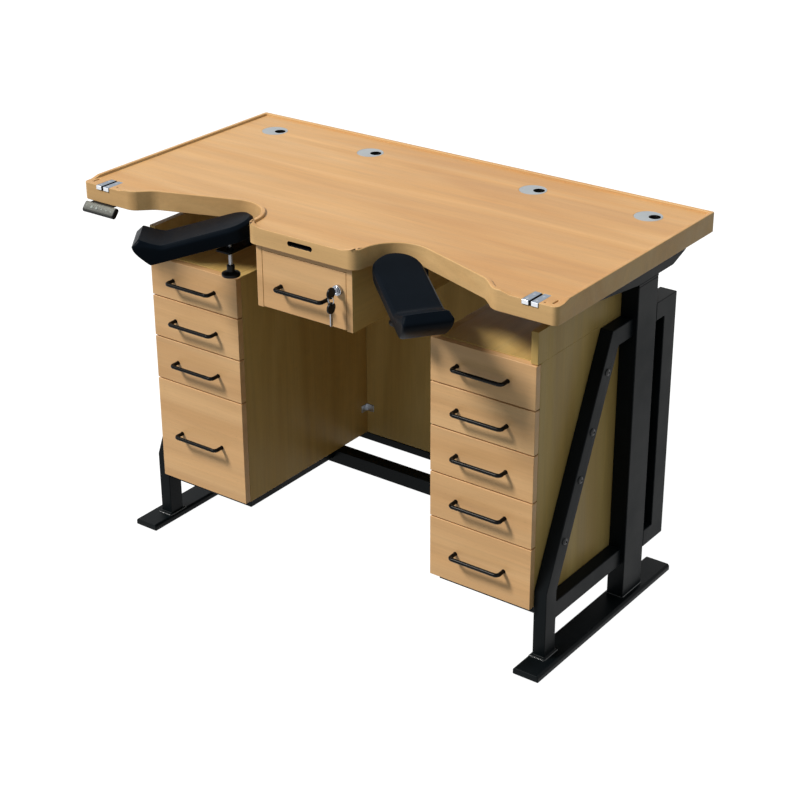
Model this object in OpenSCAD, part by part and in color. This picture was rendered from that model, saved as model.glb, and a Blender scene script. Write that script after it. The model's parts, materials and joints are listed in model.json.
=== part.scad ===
// Height-adjustable watchmaker's bench: two drawer pedestals on a low steel frame,
// a scooped beech top on lifting columns, armrests, a centre drawer and a hand control.
// X runs to the user's right, Y to the back and Z up. The origin is on the floor.

/* [Top] */
// Width of the tabletop
table_w = 1200; // [1100:10:1600]
// Depth of the tabletop
table_d = 610; // [580:10:800]
// Height of the work surface with the columns closed
work_h = 858; // [838:5:898]
// Thickness of the board
board_t = 38; // [35:1:45]
// Height of the raised edge round the work surface
lip_h = 5; // [3:0.5:8]
// Width of the raised edge
lip_w = 9; // [6:1:14]
// Radius of the front corners
corner_r = 12; // [8:1:20]
// Radius of the back corners
back_corner_r = 5; // [2:1:20]
// Half width of the tongue between the scoops
tongue_half = 142; // [138:1:160]
// Radius of the tongue's corners
tongue_r = 24; // [18:1:28]
// Radius of the deep end of each scoop
scoop_r = 76; // [72:1:78]
// Angle of each scoop's outer flank to the front edge
flank_a = 19; // [17:0.5:21]
// Distance of the flank's steeper end from the middle of the bench
flank_bend_x = 422; // [400:1:430]
// Angle of that steeper end to the front edge
flank_end_a = 43; // [38:1:46]
// Radius between the flank and its steeper end
flank_bend_r = 55; // [40:5:70]
// Radius that blends the steeper end into the front edge
flank_blend_r = 35; // [20:5:50]

/* [Bench pin slot and accessory plates] */
// Width of the slot in the front of the tongue
pin_slot_w = 62; // [50:1:80]
// Height of that slot
pin_slot_h = 10; // [6:0.5:12]
// Depth of that slot
pin_slot_d = 60; // [40:5:90]
// Width of an accessory plate
plate_w = 36; // [30:1:40]
// Length of an accessory plate
plate_l = 45; // [35:1:60]
// Thickness of an accessory plate
plate_t = 4; // [3:0.5:6]
// Drop of the plate's lip down the front edge
plate_drop = 9; // [6:1:14]
// Distance of the plates' centre lines from the middle of the bench
plate_x = 542; // [535:1:545]

/* [Cable grommets] */
// Outer diameter of a grommet's flange
grommet_d = 60; // [60:1:70]
// Diameter of the cable hole
cable_hole_d = 25; // [20:1:27]
// Distance of the outer grommets from the middle of the bench
grommet_outer_x = 496; // [480:1:500]
// Distance of the inner grommets from the middle of the bench
grommet_inner_x = 217; // [200:1:260]
// Distance of the grommets from the back edge
grommet_back = 91; // [80:1:110]

/* [Steel frame] */
// Width of a foot bar
foot_w = 62; // [56:1:80]
// Length of a foot bar
foot_l = 551; // [540:1:600]
// Thickness of a foot bar
foot_t = 15; // [10:1:20]
// Height of the rubber foot pads
pad_h = 5; // [3:0.5:8]
// Width of a lifting column across the bench
column_w = 40; // [40:1:44]
// Depth of a lifting column
column_d = 80; // [76:1:84]
// Wall of the outer column tubes
column_wall = 2.5; // [2:0.1:3]
// Distance between the inner faces of the columns
column_span = 1010; // [1008:1:1014]
// Distance of the columns from the table's front edge
column_setback = 407; // [400:1:412]
// Wall of the square and flat tubes
tube_wall = 2; // [1.5:0.1:3]
// Side of the bent post tube as seen from the side
post_d = 40; // [36:1:44]
// Width of the bent post tube across the bench
post_w = 30; // [25:1:36]
// Depth of the upright tube behind each column
back_tube_d = 50; // [40:1:54]
// Lean of the bent post from the horizontal
post_a = 66.3; // [65:0.1:67.5]
// Distance of the post's foot from the table's front edge
post_setback = 105; // [100:1:110]
// Travel of the table above its lowest height
lift_travel = 300; // [200:10:320]

/* [Pedestals] */
// Width of a pedestal
pedestal_w = 249; // [240:1:252]
// Height of a pedestal without the upstand
pedestal_h = 549; // [540:1:560]
// Height of the pedestals' underside above the floor
pedestal_z = 133; // [130:1:140]
// Distance of the drawer fronts from the table's front edge
front_setback = 91; // [85:1:95]
// Depth of a pedestal with its drawer fronts
pedestal_d = 469; // [465:1:480]
// Thickness of the pedestal boards
board_wall = 16; // [15:0.5:18]
// Height of the upstand on the outer sides
upstand_h = 69; // [50:1:80]
// Heights of the three upper drawer fronts on the left, from below
left_fronts = [104, 99, 94];
// Heights of the four upper drawer fronts on the right, from below
right_fronts = [105.5, 106, 98, 97.5];

/* [Drawers] */
// Thickness of a drawer front
front_t = 16; // [15:0.5:18]
// Gap between neighbouring drawer fronts
front_gap = 3; // [2:0.5:4]
// Thickness of the drawer box boards
box_wall = 12; // [10:0.5:13]
// Thickness of the drawer bottoms
box_floor = 6; // [4:0.5:8]
// Length of a pedestal drawer box behind its front
box_l = 420; // [380:5:430]
// Handle length between the leg centres
handle_l = 119.5; // [96:0.5:128]
// Handle bar diameter
handle_d = 8.5; // [7.5:0.5:10]
// Reach of the handle in front of the drawer
handle_out = 28; // [24:1:36]

/* [Centre drawer] */
// Width of the centre case
case_w = 247; // [240:1:252]
// Height of the centre case
case_h = 138; // [130:1:145]
// Depth of the centre case
case_d = 390; // [370:5:400]
// Setback of the centre case from the table's front edge
case_setback = 10; // [8:1:20]
// Side boards of the centre case
case_wall = 15; // [14:0.5:16]
// Height of the centre drawer's box
centre_box_h = 62; // [50:1:64]

/* [Armrests] */
// Width of an armrest pad
arm_w = 102; // [90:1:102]
// Length from the swivel to the outer tip of the pad
arm_reach = 202; // [185:1:220]
// Thickness of an armrest pad
arm_t = 35; // [30:1:40]
// Height of the raised end above the pad
arm_lip_h = 25; // [18:1:30]
// Distance of the swivel from the middle of the bench
arm_x = 218; // [216:1:219]
// Distance of the swivel behind the table's front edge
arm_y = 36; // [35:1:38]
// Height of the pad's top at its swivel
arm_z = 838.5; // [836:0.5:842]
// Turn of the pad outwards from straight ahead
arm_yaw = 53; // [45:1:56]
// Slope of the pad down to its outer end
arm_tilt = 15; // [10:1:16]
// Diameter of the height screw
screw_d = 8; // [8:0.5:10]
// Diameter of the clamping knob
knob_d = 40; // [34:1:46]

/* [Hidden] */

$fn = 48;
// Overrun of every cut past the face that it opens
cut = 1;
// Clearance between pieces that slide past each other
run = 0.3;
// Running clearance of pins, shanks and barrels in their bores
fit = 0.1;
// Joint line between the boards of a box
glue = 0.2;
// Gap between a closed drawer front and the boards behind it
close_gap = 0.5;
// Points on each arc of the tabletop's outline
arc_steps = 14;

// Colours
beech = "#dcb27c";
beech_front = "#cf9f6c";
steel_black = "#26292b";
pad_black = "#15181c";
silver = "#b9bcc0";
brass_grey = "#8f9297";
ply = "#d9b98c";

// The origin lies under the middle of the bench's overall box, between the back edge
// of the top and the pads' outer corners
arm_r = arm_w / 2;
arm_round = 8;
arm_nose_h = 13;
arm_tip_y = arm_y - arm_round - (arm_r - arm_round) * sin(arm_yaw) - cos(arm_yaw)
    * ((arm_reach - arm_round) * cos(arm_tilt) + (arm_nose_h - arm_round) * sin(arm_tilt));
front_y = -(table_d + arm_tip_y) / 2;
back_y = front_y + table_d;

// Top
work_z = work_h;
under_z = work_z - board_t;
lip_z = work_z + lip_h;
half_w = table_w / 2;
scoop_c = [tongue_half + scoop_r, tongue_r];
flank_start = scoop_c + scoop_r * [sin(flank_a), cos(flank_a)];
flank_bend = [flank_bend_x, flank_start[1] - (flank_bend_x - flank_start[0]) * tan(flank_a)];
flank_bend_in = flank_bend_r * tan((flank_end_a - flank_a) / 2);
flank_bend_c = flank_bend - flank_bend_in * [cos(flank_a), -sin(flank_a)]
    - flank_bend_r * [sin(flank_a), cos(flank_a)];
flank_foot_x = flank_bend[0] + flank_bend[1] / tan(flank_end_a);
flank_blend_c = [flank_foot_x + flank_blend_r * tan(flank_end_a / 2), flank_blend_r];
// Where the raised edge fades out: at the tongue, along the flank and up each side
lip_tongue_x = tongue_half - tongue_r / 2;
lip_flank_x = flank_blend_c[0];
lip_side_y = 24;
lip_ramp = 24;

// Bench pin slot, plates, holes beside the plates
pin_slot_rise = 22;
pin_slot_z = under_z + pin_slot_rise;
plate_groove_w = 5;
plate_groove_d = 2.5;
dog_hole_d = 5;
dog_hole_depth = 25;
dog_hole_in = [8, 11];
dog_hole_right = [plate_x + plate_w / 2 + dog_hole_in[0], dog_hole_in[1]];
dog_hole_left = [-plate_x + plate_w / 2 + dog_hole_in[1], 2 * dog_hole_in[0]];
side_slot_w = 4;
side_slot_l = 20;
side_slot_in = 17;
side_slot_x = half_w - side_slot_in;
side_slot_y = 13;
side_slot_depth = 12;

// Grommets
grommet_flange_t = 1.6;
grommet_flange_w = 2.5;
grommet_barrel_r = grommet_d / 2 - grommet_flange_w;
grommet_barrel_l = 14;
cable_offset = [13, 3];
grommet_y = back_y - grommet_back;
grommet_xs = [-grommet_outer_x, -grommet_inner_x, grommet_inner_x, grommet_outer_x];

// Feet and columns
column_x = column_span / 2;
column_front = front_y + column_setback;
column_back = column_front + column_d;
column_mid = (column_front + column_back) / 2;
foot_z = pad_h;
foot_top = foot_z + foot_t;
foot_shift = 3.5;
foot_x = column_x + column_w / 2 - foot_w / 2 + foot_shift;
foot_setback = 42.5;
foot_y = front_y + foot_setback;
foot_chamfer = 4;
foot_pad_r = 15;
foot_pad_in = 30;
arm_low = 66;
head_t = 4.5;
column_top = under_z - arm_low - head_t - close_gap;

// Bent post, low side rail and the frame behind the column
post_front = front_y + post_setback;
post_bend_rise = 154;
post_bend_z = foot_top + post_bend_rise;
post_h = 659;
post_top = foot_top + post_h;
post_plate_rim = 6;
post_plate_t = 3;
rail_rise = 80;
rail_z = foot_top + rail_rise;
rail_h = 40;
back_tube_gap = 35;
back_tube_y = column_back + back_tube_gap;
back_frame_rise = 90;
back_frame_z = foot_top + back_frame_rise;
back_frame_h = 578;
back_frame_top = back_frame_z + back_frame_h;
back_rail_h = 40;

// Cross rails and pedestal bases
cross_rail = [column_span, 34, 35];
cross_rail_in = 14;
cross_rail_y = column_front + cross_rail_in;
rear_rail = [column_span, 30, 20];
rear_rail_y = back_tube_y + back_tube_d - rear_rail[1];
base_tube = 20;
base_in = 7;
base_front = 25;

// Pedestals
pedestal_side_gap = 1;
pedestal_out = column_x - pedestal_side_gap;
pedestal_in = pedestal_out - pedestal_w;
pedestal_front = front_y + front_setback;
carcass_front = pedestal_front + front_t + close_gap;
pedestal_back = pedestal_front + pedestal_d;
pedestal_top = pedestal_z + pedestal_h;
carcass_back_t = 8;
inner_w = pedestal_w - 2 * board_wall;
upstand_in = 4;
upstand_front = pedestal_front + upstand_in;
panel_t = 16;
panel_gap = 0.5;
panel_in = 1;
bracket_leg = 22;
bracket_w = 18;
bracket_t = 2.5;
bracket_rise = 60;
bracket_zs = [pedestal_z + bracket_rise, pedestal_top - bracket_rise - bracket_w];

// Bolts through the bent posts
bolt_shank_r = 3;
bolt_head_r = 8;
bolt_head_h = 4;
dome_share = 1.25;
bolt_bite = 12;
bolt_shares = [0.19, 0.425, 0.607, 0.833];

// Drawer runners: flat bars that run in grooves of the drawer sides
side_gap = 10;
runner_h = 10;
groove_d = 6.3;
runner_reach = side_gap + groove_d - run;
groove_h = runner_h + 2 * run;
groove_start = 14;
runner_front_gap = 4;
box_clear = 3;
box_drop = 2 * (board_wall + box_clear);
runner_l = 400;
centre_runner_l = 320;
centre_box_l = 330;

// Handles
handle_r = handle_d / 2;
handle_bend = 8;
handle_foot_r = 4.9;
handle_foot_t = 1;

// Centre case, lock and keys
case_z = under_z - case_h;
case_front = front_y + case_setback;
case_top_t = 12;
case_back_t = 12;
case_inner = case_w - 2 * case_wall;
centre_gap = 1;
centre_front_w = case_inner - 2 * centre_gap;
centre_front_z = case_z + 2 * centre_gap;
centre_front_h = case_h - case_top_t - 3 * centre_gap;
centre_box_rise = 9;
centre_box_z = centre_front_z + centre_box_rise;
centre_handle_rise = 57;
centre_handle_z = case_z + centre_handle_rise;
lock_in = 18.5;
lock_x = centre_front_w / 2 - lock_in;
lock_rise = 86;
lock_z = case_z + lock_rise;
lock_r = 9;
lock_flange_r = 11;
lock_out = 8;
plug_r = 6.5;
lock_back = 5;
cam_t = 2.5;
cam_l = 23.5;
cam_w = 12;
cam_root = 0.1;
strike_t = 3;
strike_w = 26;
strike_h = 27;
key_blade = [2.4, 12, 7];
key_head_r = 12;
key_head_t = 4;
key_head_gap = 5;
key_root = 2.5;
ring_r = 7;
ring_wire_r = 0.9;
key_eye_r = 1.8;
key_eye_in = key_head_r - key_eye_r - key_root;
spare_blade_l = 26;

// Armrests
arm_lip_l = 20;
arm_ramp_l = 39;
arm_under_l = 24;
arm_draft = 3;
arm_lip_u = arm_reach - arm_lip_l;
arm_crease = arm_lip_u - arm_ramp_l;
arm_under_u = arm_reach - arm_under_l;
arm_origin = [arm_x, front_y + arm_y, arm_z];
hub_r = 15;
hub_h = 10;
hub_top = arm_z - arm_t;
hub_z = hub_top - hub_h;
hub_root = arm_t / 2;
bush_r = 8;
bush_flange_r = 11;
bush_flange_t = 2;
bush_h = 12;
screw_bush_in = 9;
screw_top = hub_z + screw_bush_in;
plate_gap = 19.5;
plate_z = hub_z - plate_gap;
bracket_plate_t = 5;
bracket_half = 18.5;
bracket_nose = 23;
bracket_web_gap = 5;
bracket_web_y = front_y + tongue_r + scoop_r + bracket_web_gap;
bracket_flange_l = 50;
bracket_screw_r = 5;
bracket_screw_h = 3;
bracket_screw_in = 12;
nut_r = 7;
nut_h = 4;
knob_drop = 57;
knob_z = plate_z - knob_drop;
knob_disc_h = 12;
knob_rim_h = 7;
knob_collar_r = 8.5;
knob_collar_h = 13;

// Table arms, inner columns, motors, drive screws and beam
arm_front_in = 110;
arm_front_y = front_y + arm_front_in;
arm_back_in = 10;
arm_back_y = back_y - arm_back_in;
arm_front_h = 30;
arm_back_h = 48;
arm_flat_l = 141;
arm_flat_back = column_front + arm_flat_l;
arm_wall = 3;
arm_notch = 20;
inner_gap = 0.8;
inner_wall = 3;
inner_rise = 40;
inner_bottom = foot_top + inner_rise;
motor_t = 30;
motor_l = 84;
motor_h = 50;
motor_socket = 16;
drive_r = 6;
drive_rise = 55;
drive_bottom = foot_top + drive_rise;
drive_end_gap = 1;
pillar_r = 12;
pillar_bore = 8;
drive_nut_h = 20;
drive_spare = 5;
pillar_top = drive_bottom + lift_travel + drive_nut_h + drive_spare;
beam_d = 40;
beam_h = 40;

// Hand control and control box
handset_w = 90;
handset_in = 12;
handset_x = handset_in - half_w;
handset_t = 12;
handset_slab = 24.5;
handset_lean = 41;
handset_hang = 1.6;
handset_set = 6.6;
handset_tab_in = 13;
handset_tab_l = 26;
handset_tab_h = handset_hang + handset_t / 6;
handset_r = handset_t / 2;
handset_top = [front_y - handset_set, under_z - handset_hang - handset_r];
handset_low = handset_top - (handset_slab - handset_t) * [sin(handset_lean), cos(handset_lean)];
handset_mid = (handset_top + handset_low) / 2;
button_r = 3.5;
button_h = 2;
button_sink = 3;
button_pitch = 14;
button_first = 24;
box_size = [240, 76, 30];
box_x = -box_size[0] / 2;
box_gap = 3;
box_y = column_back + box_gap;
socket_size = [16, 12, 10];

// One tube along X with its low corner at the origin
module tube_x(size, wall) {
    difference() {
        cube(size);
        translate([-cut, wall, wall])
            cube([size[0] + 2 * cut, size[1] - 2 * wall, size[2] - 2 * wall]);
    }
}

// One tube along Y with its low corner at the origin
module tube_y(size, wall) {
    difference() {
        cube(size);
        translate([wall, -cut, wall])
            cube([size[0] - 2 * wall, size[1] + 2 * cut, size[2] - 2 * wall]);
    }
}

// One tube along Z with its low corner at the origin
module tube_z(size, wall) {
    difference() {
        cube(size);
        translate([wall, wall, -cut])
            cube([size[0] - 2 * wall, size[1] - 2 * wall, size[2] + 2 * cut]);
    }
}

// The child and its mirror image across the middle of the bench
module both_sides() {
    children();
    mirror([1, 0, 0]) children();
}

// A profile drawn in Y and Z, extruded along X from x by w
module extrude_x(x, w) {
    translate([x, 0, 0]) rotate([90, 0, 90]) linear_extrude(w) children();
}

// A profile drawn in X and Z, extruded along Y from y by w
module extrude_y(y, w) {
    translate([0, y + w, 0]) rotate([90, 0, 0]) linear_extrude(w) children();
}

// Points on an arc of radius r round c, from angle a to angle b
function arc(c, r, a, b) =
    [for (i = [0:arc_steps]) c + r * [cos(a + (b - a) * i / arc_steps), sin(a + (b - a) * i / arc_steps)]];

// Right half of the tabletop's outline, drawn s inside the edge, with the front edge at zero
function half_outline(s) = concat(
    [[0, s]],
    arc([tongue_half - tongue_r, tongue_r], tongue_r - s, -90, 0),
    arc(scoop_c, scoop_r + s, 180, 90 - flank_a),
    arc(flank_bend_c, flank_bend_r + s, 90 - flank_a, 90 - flank_end_a),
    arc(flank_blend_c, flank_blend_r - s, -90 - flank_end_a, -90),
    arc([half_w - corner_r - s, corner_r + s], corner_r, -90, 0),
    arc([half_w - back_corner_r - s, table_d - back_corner_r - s], back_corner_r, 0, 90),
    [[0, table_d - s]]);

// The whole outline, with its left half mirrored
function outline(s) = let (h = half_outline(s))
    concat(h, [for (i = [len(h) - 2:-1:1]) [-h[i][0], h[i][1]]]);

module board_shape(s) {
    translate([0, front_y]) polygon(outline(s));
}

// The raised edge, faded out where the work surface runs to the front edge
module lip() {
    difference() {
        translate([0, 0, work_z]) linear_extrude(lip_h) difference() {
            board_shape(0);
            board_shape(lip_w);
        }
        extrude_y(front_y - cut, tongue_r + cut) polygon([
            [-lip_tongue_x, lip_z + cut], [-lip_tongue_x + lip_ramp, work_z],
            [lip_tongue_x - lip_ramp, work_z], [lip_tongue_x, lip_z + cut]]);
        both_sides() {
            extrude_y(front_y - cut, lip_side_y + cut) polygon([
                [lip_flank_x, lip_z + cut], [lip_flank_x + lip_ramp, work_z],
                [half_w + cut, work_z], [half_w + cut, lip_z + cut]]);
            extrude_x(half_w - lip_side_y, lip_side_y + cut) polygon([
                [front_y - cut, work_z], [front_y + lip_side_y, work_z],
                [front_y + lip_side_y + lip_ramp, lip_z + cut], [front_y - cut, lip_z + cut]]);
        }
    }
}

// The two plates' recesses, each plate_w wide
module plate_recess(x) {
    translate([x - plate_w / 2 - fit, front_y - cut, work_z - plate_t])
        cube([plate_w + 2 * fit, plate_l + fit + cut, plate_t + cut]);
}

module dog_hole(at) {
    translate([at[0], front_y + at[1], work_z - dog_hole_depth])
        cylinder(d = dog_hole_d, h = dog_hole_depth + cut);
}

module side_slot(x) {
    span = side_slot_l - side_slot_w;
    translate([x, front_y + side_slot_y + side_slot_w / 2, work_z - side_slot_depth]) {
        cylinder(d = side_slot_w, h = side_slot_depth + cut);
        translate([0, span, 0]) cylinder(d = side_slot_w, h = side_slot_depth + cut);
        translate([-side_slot_w / 2, 0, 0]) cube([side_slot_w, span, side_slot_depth + cut]);
    }
}

module pin_slot() {
    straight = pin_slot_w - pin_slot_h;
    for (s = [-1, 1])
        translate([s * straight / 2, front_y - cut, pin_slot_z]) rotate([-90, 0, 0])
            cylinder(d = pin_slot_h, h = pin_slot_d + cut);
    translate([-straight / 2, front_y - cut, pin_slot_z - pin_slot_h / 2])
        cube([straight, pin_slot_d + cut, pin_slot_h]);
}

module tabletop() color(beech) {
    difference() {
        union() {
            translate([0, 0, under_z]) linear_extrude(board_t) board_shape(0);
            lip();
        }
        for (x = grommet_xs) translate([x, grommet_y, 0]) {
            translate([0, 0, under_z - cut]) cylinder(r = grommet_barrel_r + fit, h = board_t + 2 * cut);
            translate([0, 0, work_z - grommet_flange_t]) cylinder(r = grommet_d / 2 + fit, h = grommet_flange_t + cut);
        }
        pin_slot();
        for (x = [-plate_x, plate_x]) plate_recess(x);
        dog_hole(dog_hole_right);
        dog_hole(dog_hole_left);
        side_slot(side_slot_x);
        side_slot(-side_slot_x);
    }
}

// Accessory plates let into the front corners, with a groove and a lip over the edge
module corner_plates() color(silver) {
    for (x = [-plate_x, plate_x]) difference() {
        union() {
            translate([x - plate_w / 2, front_y - plate_t / 2, work_z - plate_t])
                cube([plate_w, plate_l + plate_t / 2, plate_t]);
            translate([x - plate_w / 2, front_y - plate_t / 2, work_z - plate_drop])
                cube([plate_w, plate_t / 2 - fit, plate_drop]);
        }
        translate([x - plate_groove_w / 2, front_y - plate_t, work_z - plate_groove_d])
            cube([plate_groove_w, plate_l + 2 * plate_t, plate_groove_d + cut]);
    }
}

module cable_grommets() color(silver) {
    for (x = grommet_xs) translate([x, grommet_y, work_z - grommet_flange_t]) difference() {
        union() {
            cylinder(d = grommet_d, h = grommet_flange_t);
            translate([0, 0, -grommet_barrel_l]) cylinder(r = grommet_barrel_r, h = grommet_barrel_l);
        }
        translate([cable_offset[0], cable_offset[1], -grommet_barrel_l - cut])
            cylinder(d = cable_hole_d, h = grommet_barrel_l + grommet_flange_t + 2 * cut);
    }
}

// Foot bars with chamfered top edges
module foot_bars() color(steel_black) both_sides()
    extrude_y(foot_y, foot_l) polygon([
        [foot_x, foot_z], [foot_x + foot_w, foot_z],
        [foot_x + foot_w, foot_top - foot_chamfer], [foot_x + foot_w - foot_chamfer, foot_top],
        [foot_x + foot_chamfer, foot_top], [foot_x, foot_top - foot_chamfer]]);

module foot_pads() color(pad_black) both_sides()
    for (y = [foot_y + foot_pad_in, foot_y + foot_l - foot_pad_in])
        translate([foot_x + foot_w / 2, y, 0]) cylinder(r = foot_pad_r, h = pad_h);

// Outer column: tube on the foot with the drive nut's pillar inside
module outer_column(side) color(steel_black) {
    x = side > 0 ? column_x : -column_x - column_w;
    translate([x, column_front, foot_top])
        tube_z([column_w, column_d, column_top - foot_top], column_wall);
    translate([x + column_wall, column_front + column_wall, foot_top])
        cube([column_w - 2 * column_wall, column_d - 2 * column_wall, column_wall]);
    translate([x + column_w / 2, column_mid, foot_top]) difference() {
        cylinder(r = pillar_r, h = pillar_top - foot_top);
        translate([0, 0, column_wall]) cylinder(r = pillar_bore, h = pillar_top - foot_top - column_wall - drive_nut_h);
        translate([0, 0, column_wall]) cylinder(r = drive_r + fit, h = pillar_top - foot_top);
    }
}

module outer_column_left() outer_column(-1);
module outer_column_right() outer_column(1);

// Height on the slanted edge at y, and y on it at height z, for an edge off behind the front one
function slant_z(off, y) = post_bend_z + (y - post_front - off / sin(post_a)) * tan(post_a);
function slant_y(off, z) = post_front + off / sin(post_a) + (z - post_bend_z) / tan(post_a);

// Side view of the bent post, drawn s inside its outer faces
function post_profile(s) = [
    [post_front + s, foot_top],
    [post_front + s, slant_z(s, post_front + s)],
    [slant_y(s, post_top - s), post_top - s],
    [column_front, post_top - s],
    [column_front, post_top - post_d + s],
    [slant_y(post_d - s, post_top - post_d + s), post_top - post_d + s],
    [post_front + post_d - s, slant_z(post_d - s, post_front + post_d - s)],
    [post_front + post_d - s, foot_top]];

// Centres of the bolts on the slanted part of the post
bolt_zs = [for (share = bolt_shares) post_bend_z + share * (post_top - post_bend_z)];
bolt_ys = [for (z = bolt_zs) slant_y(post_d / 2, z)];

// Side frame: bent post, low rail and the frame behind the column, welded up
module side_frame() color(steel_black) {
    difference() {
        extrude_x(column_x, post_w) polygon(post_profile(0));
        extrude_x(column_x + tube_wall, post_w - 2 * tube_wall) polygon(post_profile(tube_wall));
        for (i = [0:len(bolt_zs) - 1])
            translate([column_x - cut, bolt_ys[i], bolt_zs[i]]) rotate([0, 90, 0])
                cylinder(r = bolt_shank_r + fit, h = post_w + 2 * cut);
    }
    translate([column_x - post_plate_rim / 2, post_front - post_plate_rim, foot_top])
        cube([post_w + post_plate_rim, post_d + 2 * post_plate_rim, post_plate_t]);
    translate([column_x, post_front + post_d, rail_z])
        tube_y([post_w, column_front - post_front - post_d, rail_h], tube_wall);
    translate([column_x, column_back, back_frame_z])
        tube_y([column_w, back_tube_y - column_back, back_rail_h], tube_wall);
    translate([column_x, column_back, back_frame_top - back_rail_h])
        tube_y([column_w, back_tube_y - column_back, back_rail_h], tube_wall);
    translate([column_x, back_tube_y, back_frame_z]) difference() {
        cube([column_w, back_tube_d, back_frame_top - back_frame_z]);
        translate([tube_wall, tube_wall, tube_wall])
            cube([column_w - 2 * tube_wall, back_tube_d - 2 * tube_wall,
                back_frame_top - back_frame_z - 2 * tube_wall]);
    }
}

module side_frame_right() side_frame();
module side_frame_left() mirror([1, 0, 0]) side_frame();

// Rails between the two side frames: one at the columns, one under the back panel
module cross_rails() color(steel_black) {
    translate([-column_x, cross_rail_y, pedestal_z - cross_rail[2]]) tube_x(cross_rail, tube_wall);
    translate([-column_x, rear_rail_y, pedestal_z - rear_rail[2]]) tube_x(rear_rail, tube_wall);
}

// Base frames that carry the front of each pedestal
module pedestal_bases() color(steel_black) both_sides() {
    x = pedestal_in + base_in;
    y = pedestal_front + base_front;
    l = cross_rail_y - y;
    translate([x, y, pedestal_z - base_tube]) difference() {
        cube([column_x - x, l, base_tube]);
        translate([base_tube, base_tube, -cut])
            cube([column_x - x - 2 * base_tube, l, base_tube + 2 * cut]);
    }
}

// Panel between the pedestals
module back_panel() color(beech)
    translate([-pedestal_in + panel_gap, rear_rail_y + panel_in, pedestal_z])
        cube([2 * (pedestal_in - panel_gap), panel_t, pedestal_h]);

// Angle brackets in the corners between the back panel and the pedestals
module panel_brackets() color(silver) both_sides()
    for (z = bracket_zs)
        translate([pedestal_in - bracket_leg, rear_rail_y + panel_in - bracket_leg, z]) {
            translate([0, bracket_leg - bracket_t, 0]) cube([bracket_leg, bracket_t, bracket_w]);
            translate([bracket_leg - bracket_t, 0, 0]) cube([bracket_t, bracket_leg, bracket_w]);
        }

// Side boards of the pedestals, the outer ones drilled for the bolts
module pedestal_sides() color(beech) both_sides() difference() {
    for (x = [pedestal_in, pedestal_out - board_wall])
        translate([x, carcass_front, pedestal_z])
            cube([board_wall, pedestal_back - carcass_front, pedestal_h]);
    for (i = [0:len(bolt_zs) - 1])
        translate([pedestal_out - bolt_bite - fit, bolt_ys[i], bolt_zs[i]]) rotate([0, 90, 0])
            cylinder(r = bolt_shank_r + fit, h = bolt_bite + cut);
}

// Top, bottom and back boards of the pedestals, between their sides
module pedestal_boards() color(beech) both_sides() translate([pedestal_in + board_wall, 0, 0]) {
    depth = pedestal_back - carcass_front - carcass_back_t - glue;
    for (z = [pedestal_z, pedestal_top - board_wall])
        translate([0, carcass_front, z]) cube([inner_w, depth, board_wall]);
    translate([0, pedestal_back - carcass_back_t, pedestal_z])
        cube([inner_w, carcass_back_t, pedestal_h]);
}

// Boards that stand on the outer sides, up towards the tabletop
module side_upstands() color(beech) both_sides()
    translate([pedestal_out - board_wall, upstand_front, pedestal_top])
        cube([board_wall, pedestal_back - upstand_front, upstand_h]);

// Round-headed bolts through the posts into the pedestals
module post_bolts() color(steel_black) both_sides()
    for (i = [0:len(bolt_zs) - 1])
        translate([column_x + post_w, bolt_ys[i], bolt_zs[i]]) rotate([0, 90, 0]) {
            shank = post_w + pedestal_side_gap + bolt_bite;
            translate([0, 0, -shank]) cylinder(r = bolt_shank_r, h = shank);
            rotate_extrude() intersection() {
                translate([0, bolt_head_h - bolt_head_r * dome_share])
                    circle(r = bolt_head_r * dome_share);
                square([bolt_head_r, bolt_head_h]);
            }
        }

// Heights of the drawer fronts from below, for a list of the upper ones
function sum(v, i = 0) = i < len(v) ? v[i] + sum(v, i + 1) : 0;
function front_heights(upper) = concat([pedestal_h - sum(upper)], upper);
function front_bottom(heights, i) = i == 0 ? pedestal_z : front_bottom(heights, i - 1) + heights[i - 1];
left_heights = front_heights(left_fronts);
right_heights = front_heights(right_fronts);

// Height of the runner in a drawer whose box starts at z and is h high
function runner_z(z, h) = z + h / 2 - runner_h / 2;
// Low edge of the box behind a front that starts at z
function box_z(z) = z + box_drop / 2;

// Pair of runner bars on the inner faces of a case, inner wide round x
module runner_pair(x, inner, y, z, l) {
    for (s = [-1, 1])
        translate([s > 0 ? x + inner / 2 - runner_reach : x - inner / 2, y, z])
            cube([runner_reach, l, runner_h]);
}

pedestal_mid = (pedestal_in + pedestal_out) / 2;

module drawer_runners() color(silver) {
    y = carcass_front + groove_start + runner_front_gap;
    for (i = [0:len(left_heights) - 1])
        runner_pair(-pedestal_mid, inner_w, y,
            runner_z(box_z(front_bottom(left_heights, i)), left_heights[i] - box_drop), runner_l);
    for (i = [0:len(right_heights) - 1])
        runner_pair(pedestal_mid, inner_w, y,
            runner_z(box_z(front_bottom(right_heights, i)), right_heights[i] - box_drop), runner_l);
}

module centre_runners() color(silver)
    runner_pair(0, case_inner, case_front + front_t + groove_start + runner_front_gap,
        runner_z(centre_box_z, centre_box_h), centre_runner_l);

// Drawer box behind a front: two grooved sides, a back and a bottom, each its own board
module drawer_box(x, w, y, z, h, l) {
    for (s = [-1, 1]) difference() {
        translate([s > 0 ? x + w / 2 - box_wall : x - w / 2, y, z]) cube([box_wall, l, h]);
        translate([s > 0 ? x + w / 2 - groove_d : x - w / 2 - cut, y + groove_start, runner_z(z, h) - run])
            cube([groove_d + cut, l, groove_h]);
    }
    inside = w - 2 * box_wall - 2 * glue;
    translate([x - inside / 2, y + l - box_wall, z]) cube([inside, box_wall, h]);
    translate([x - inside / 2, y, z]) cube([inside, l - box_wall - glue, box_floor]);
}

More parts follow.
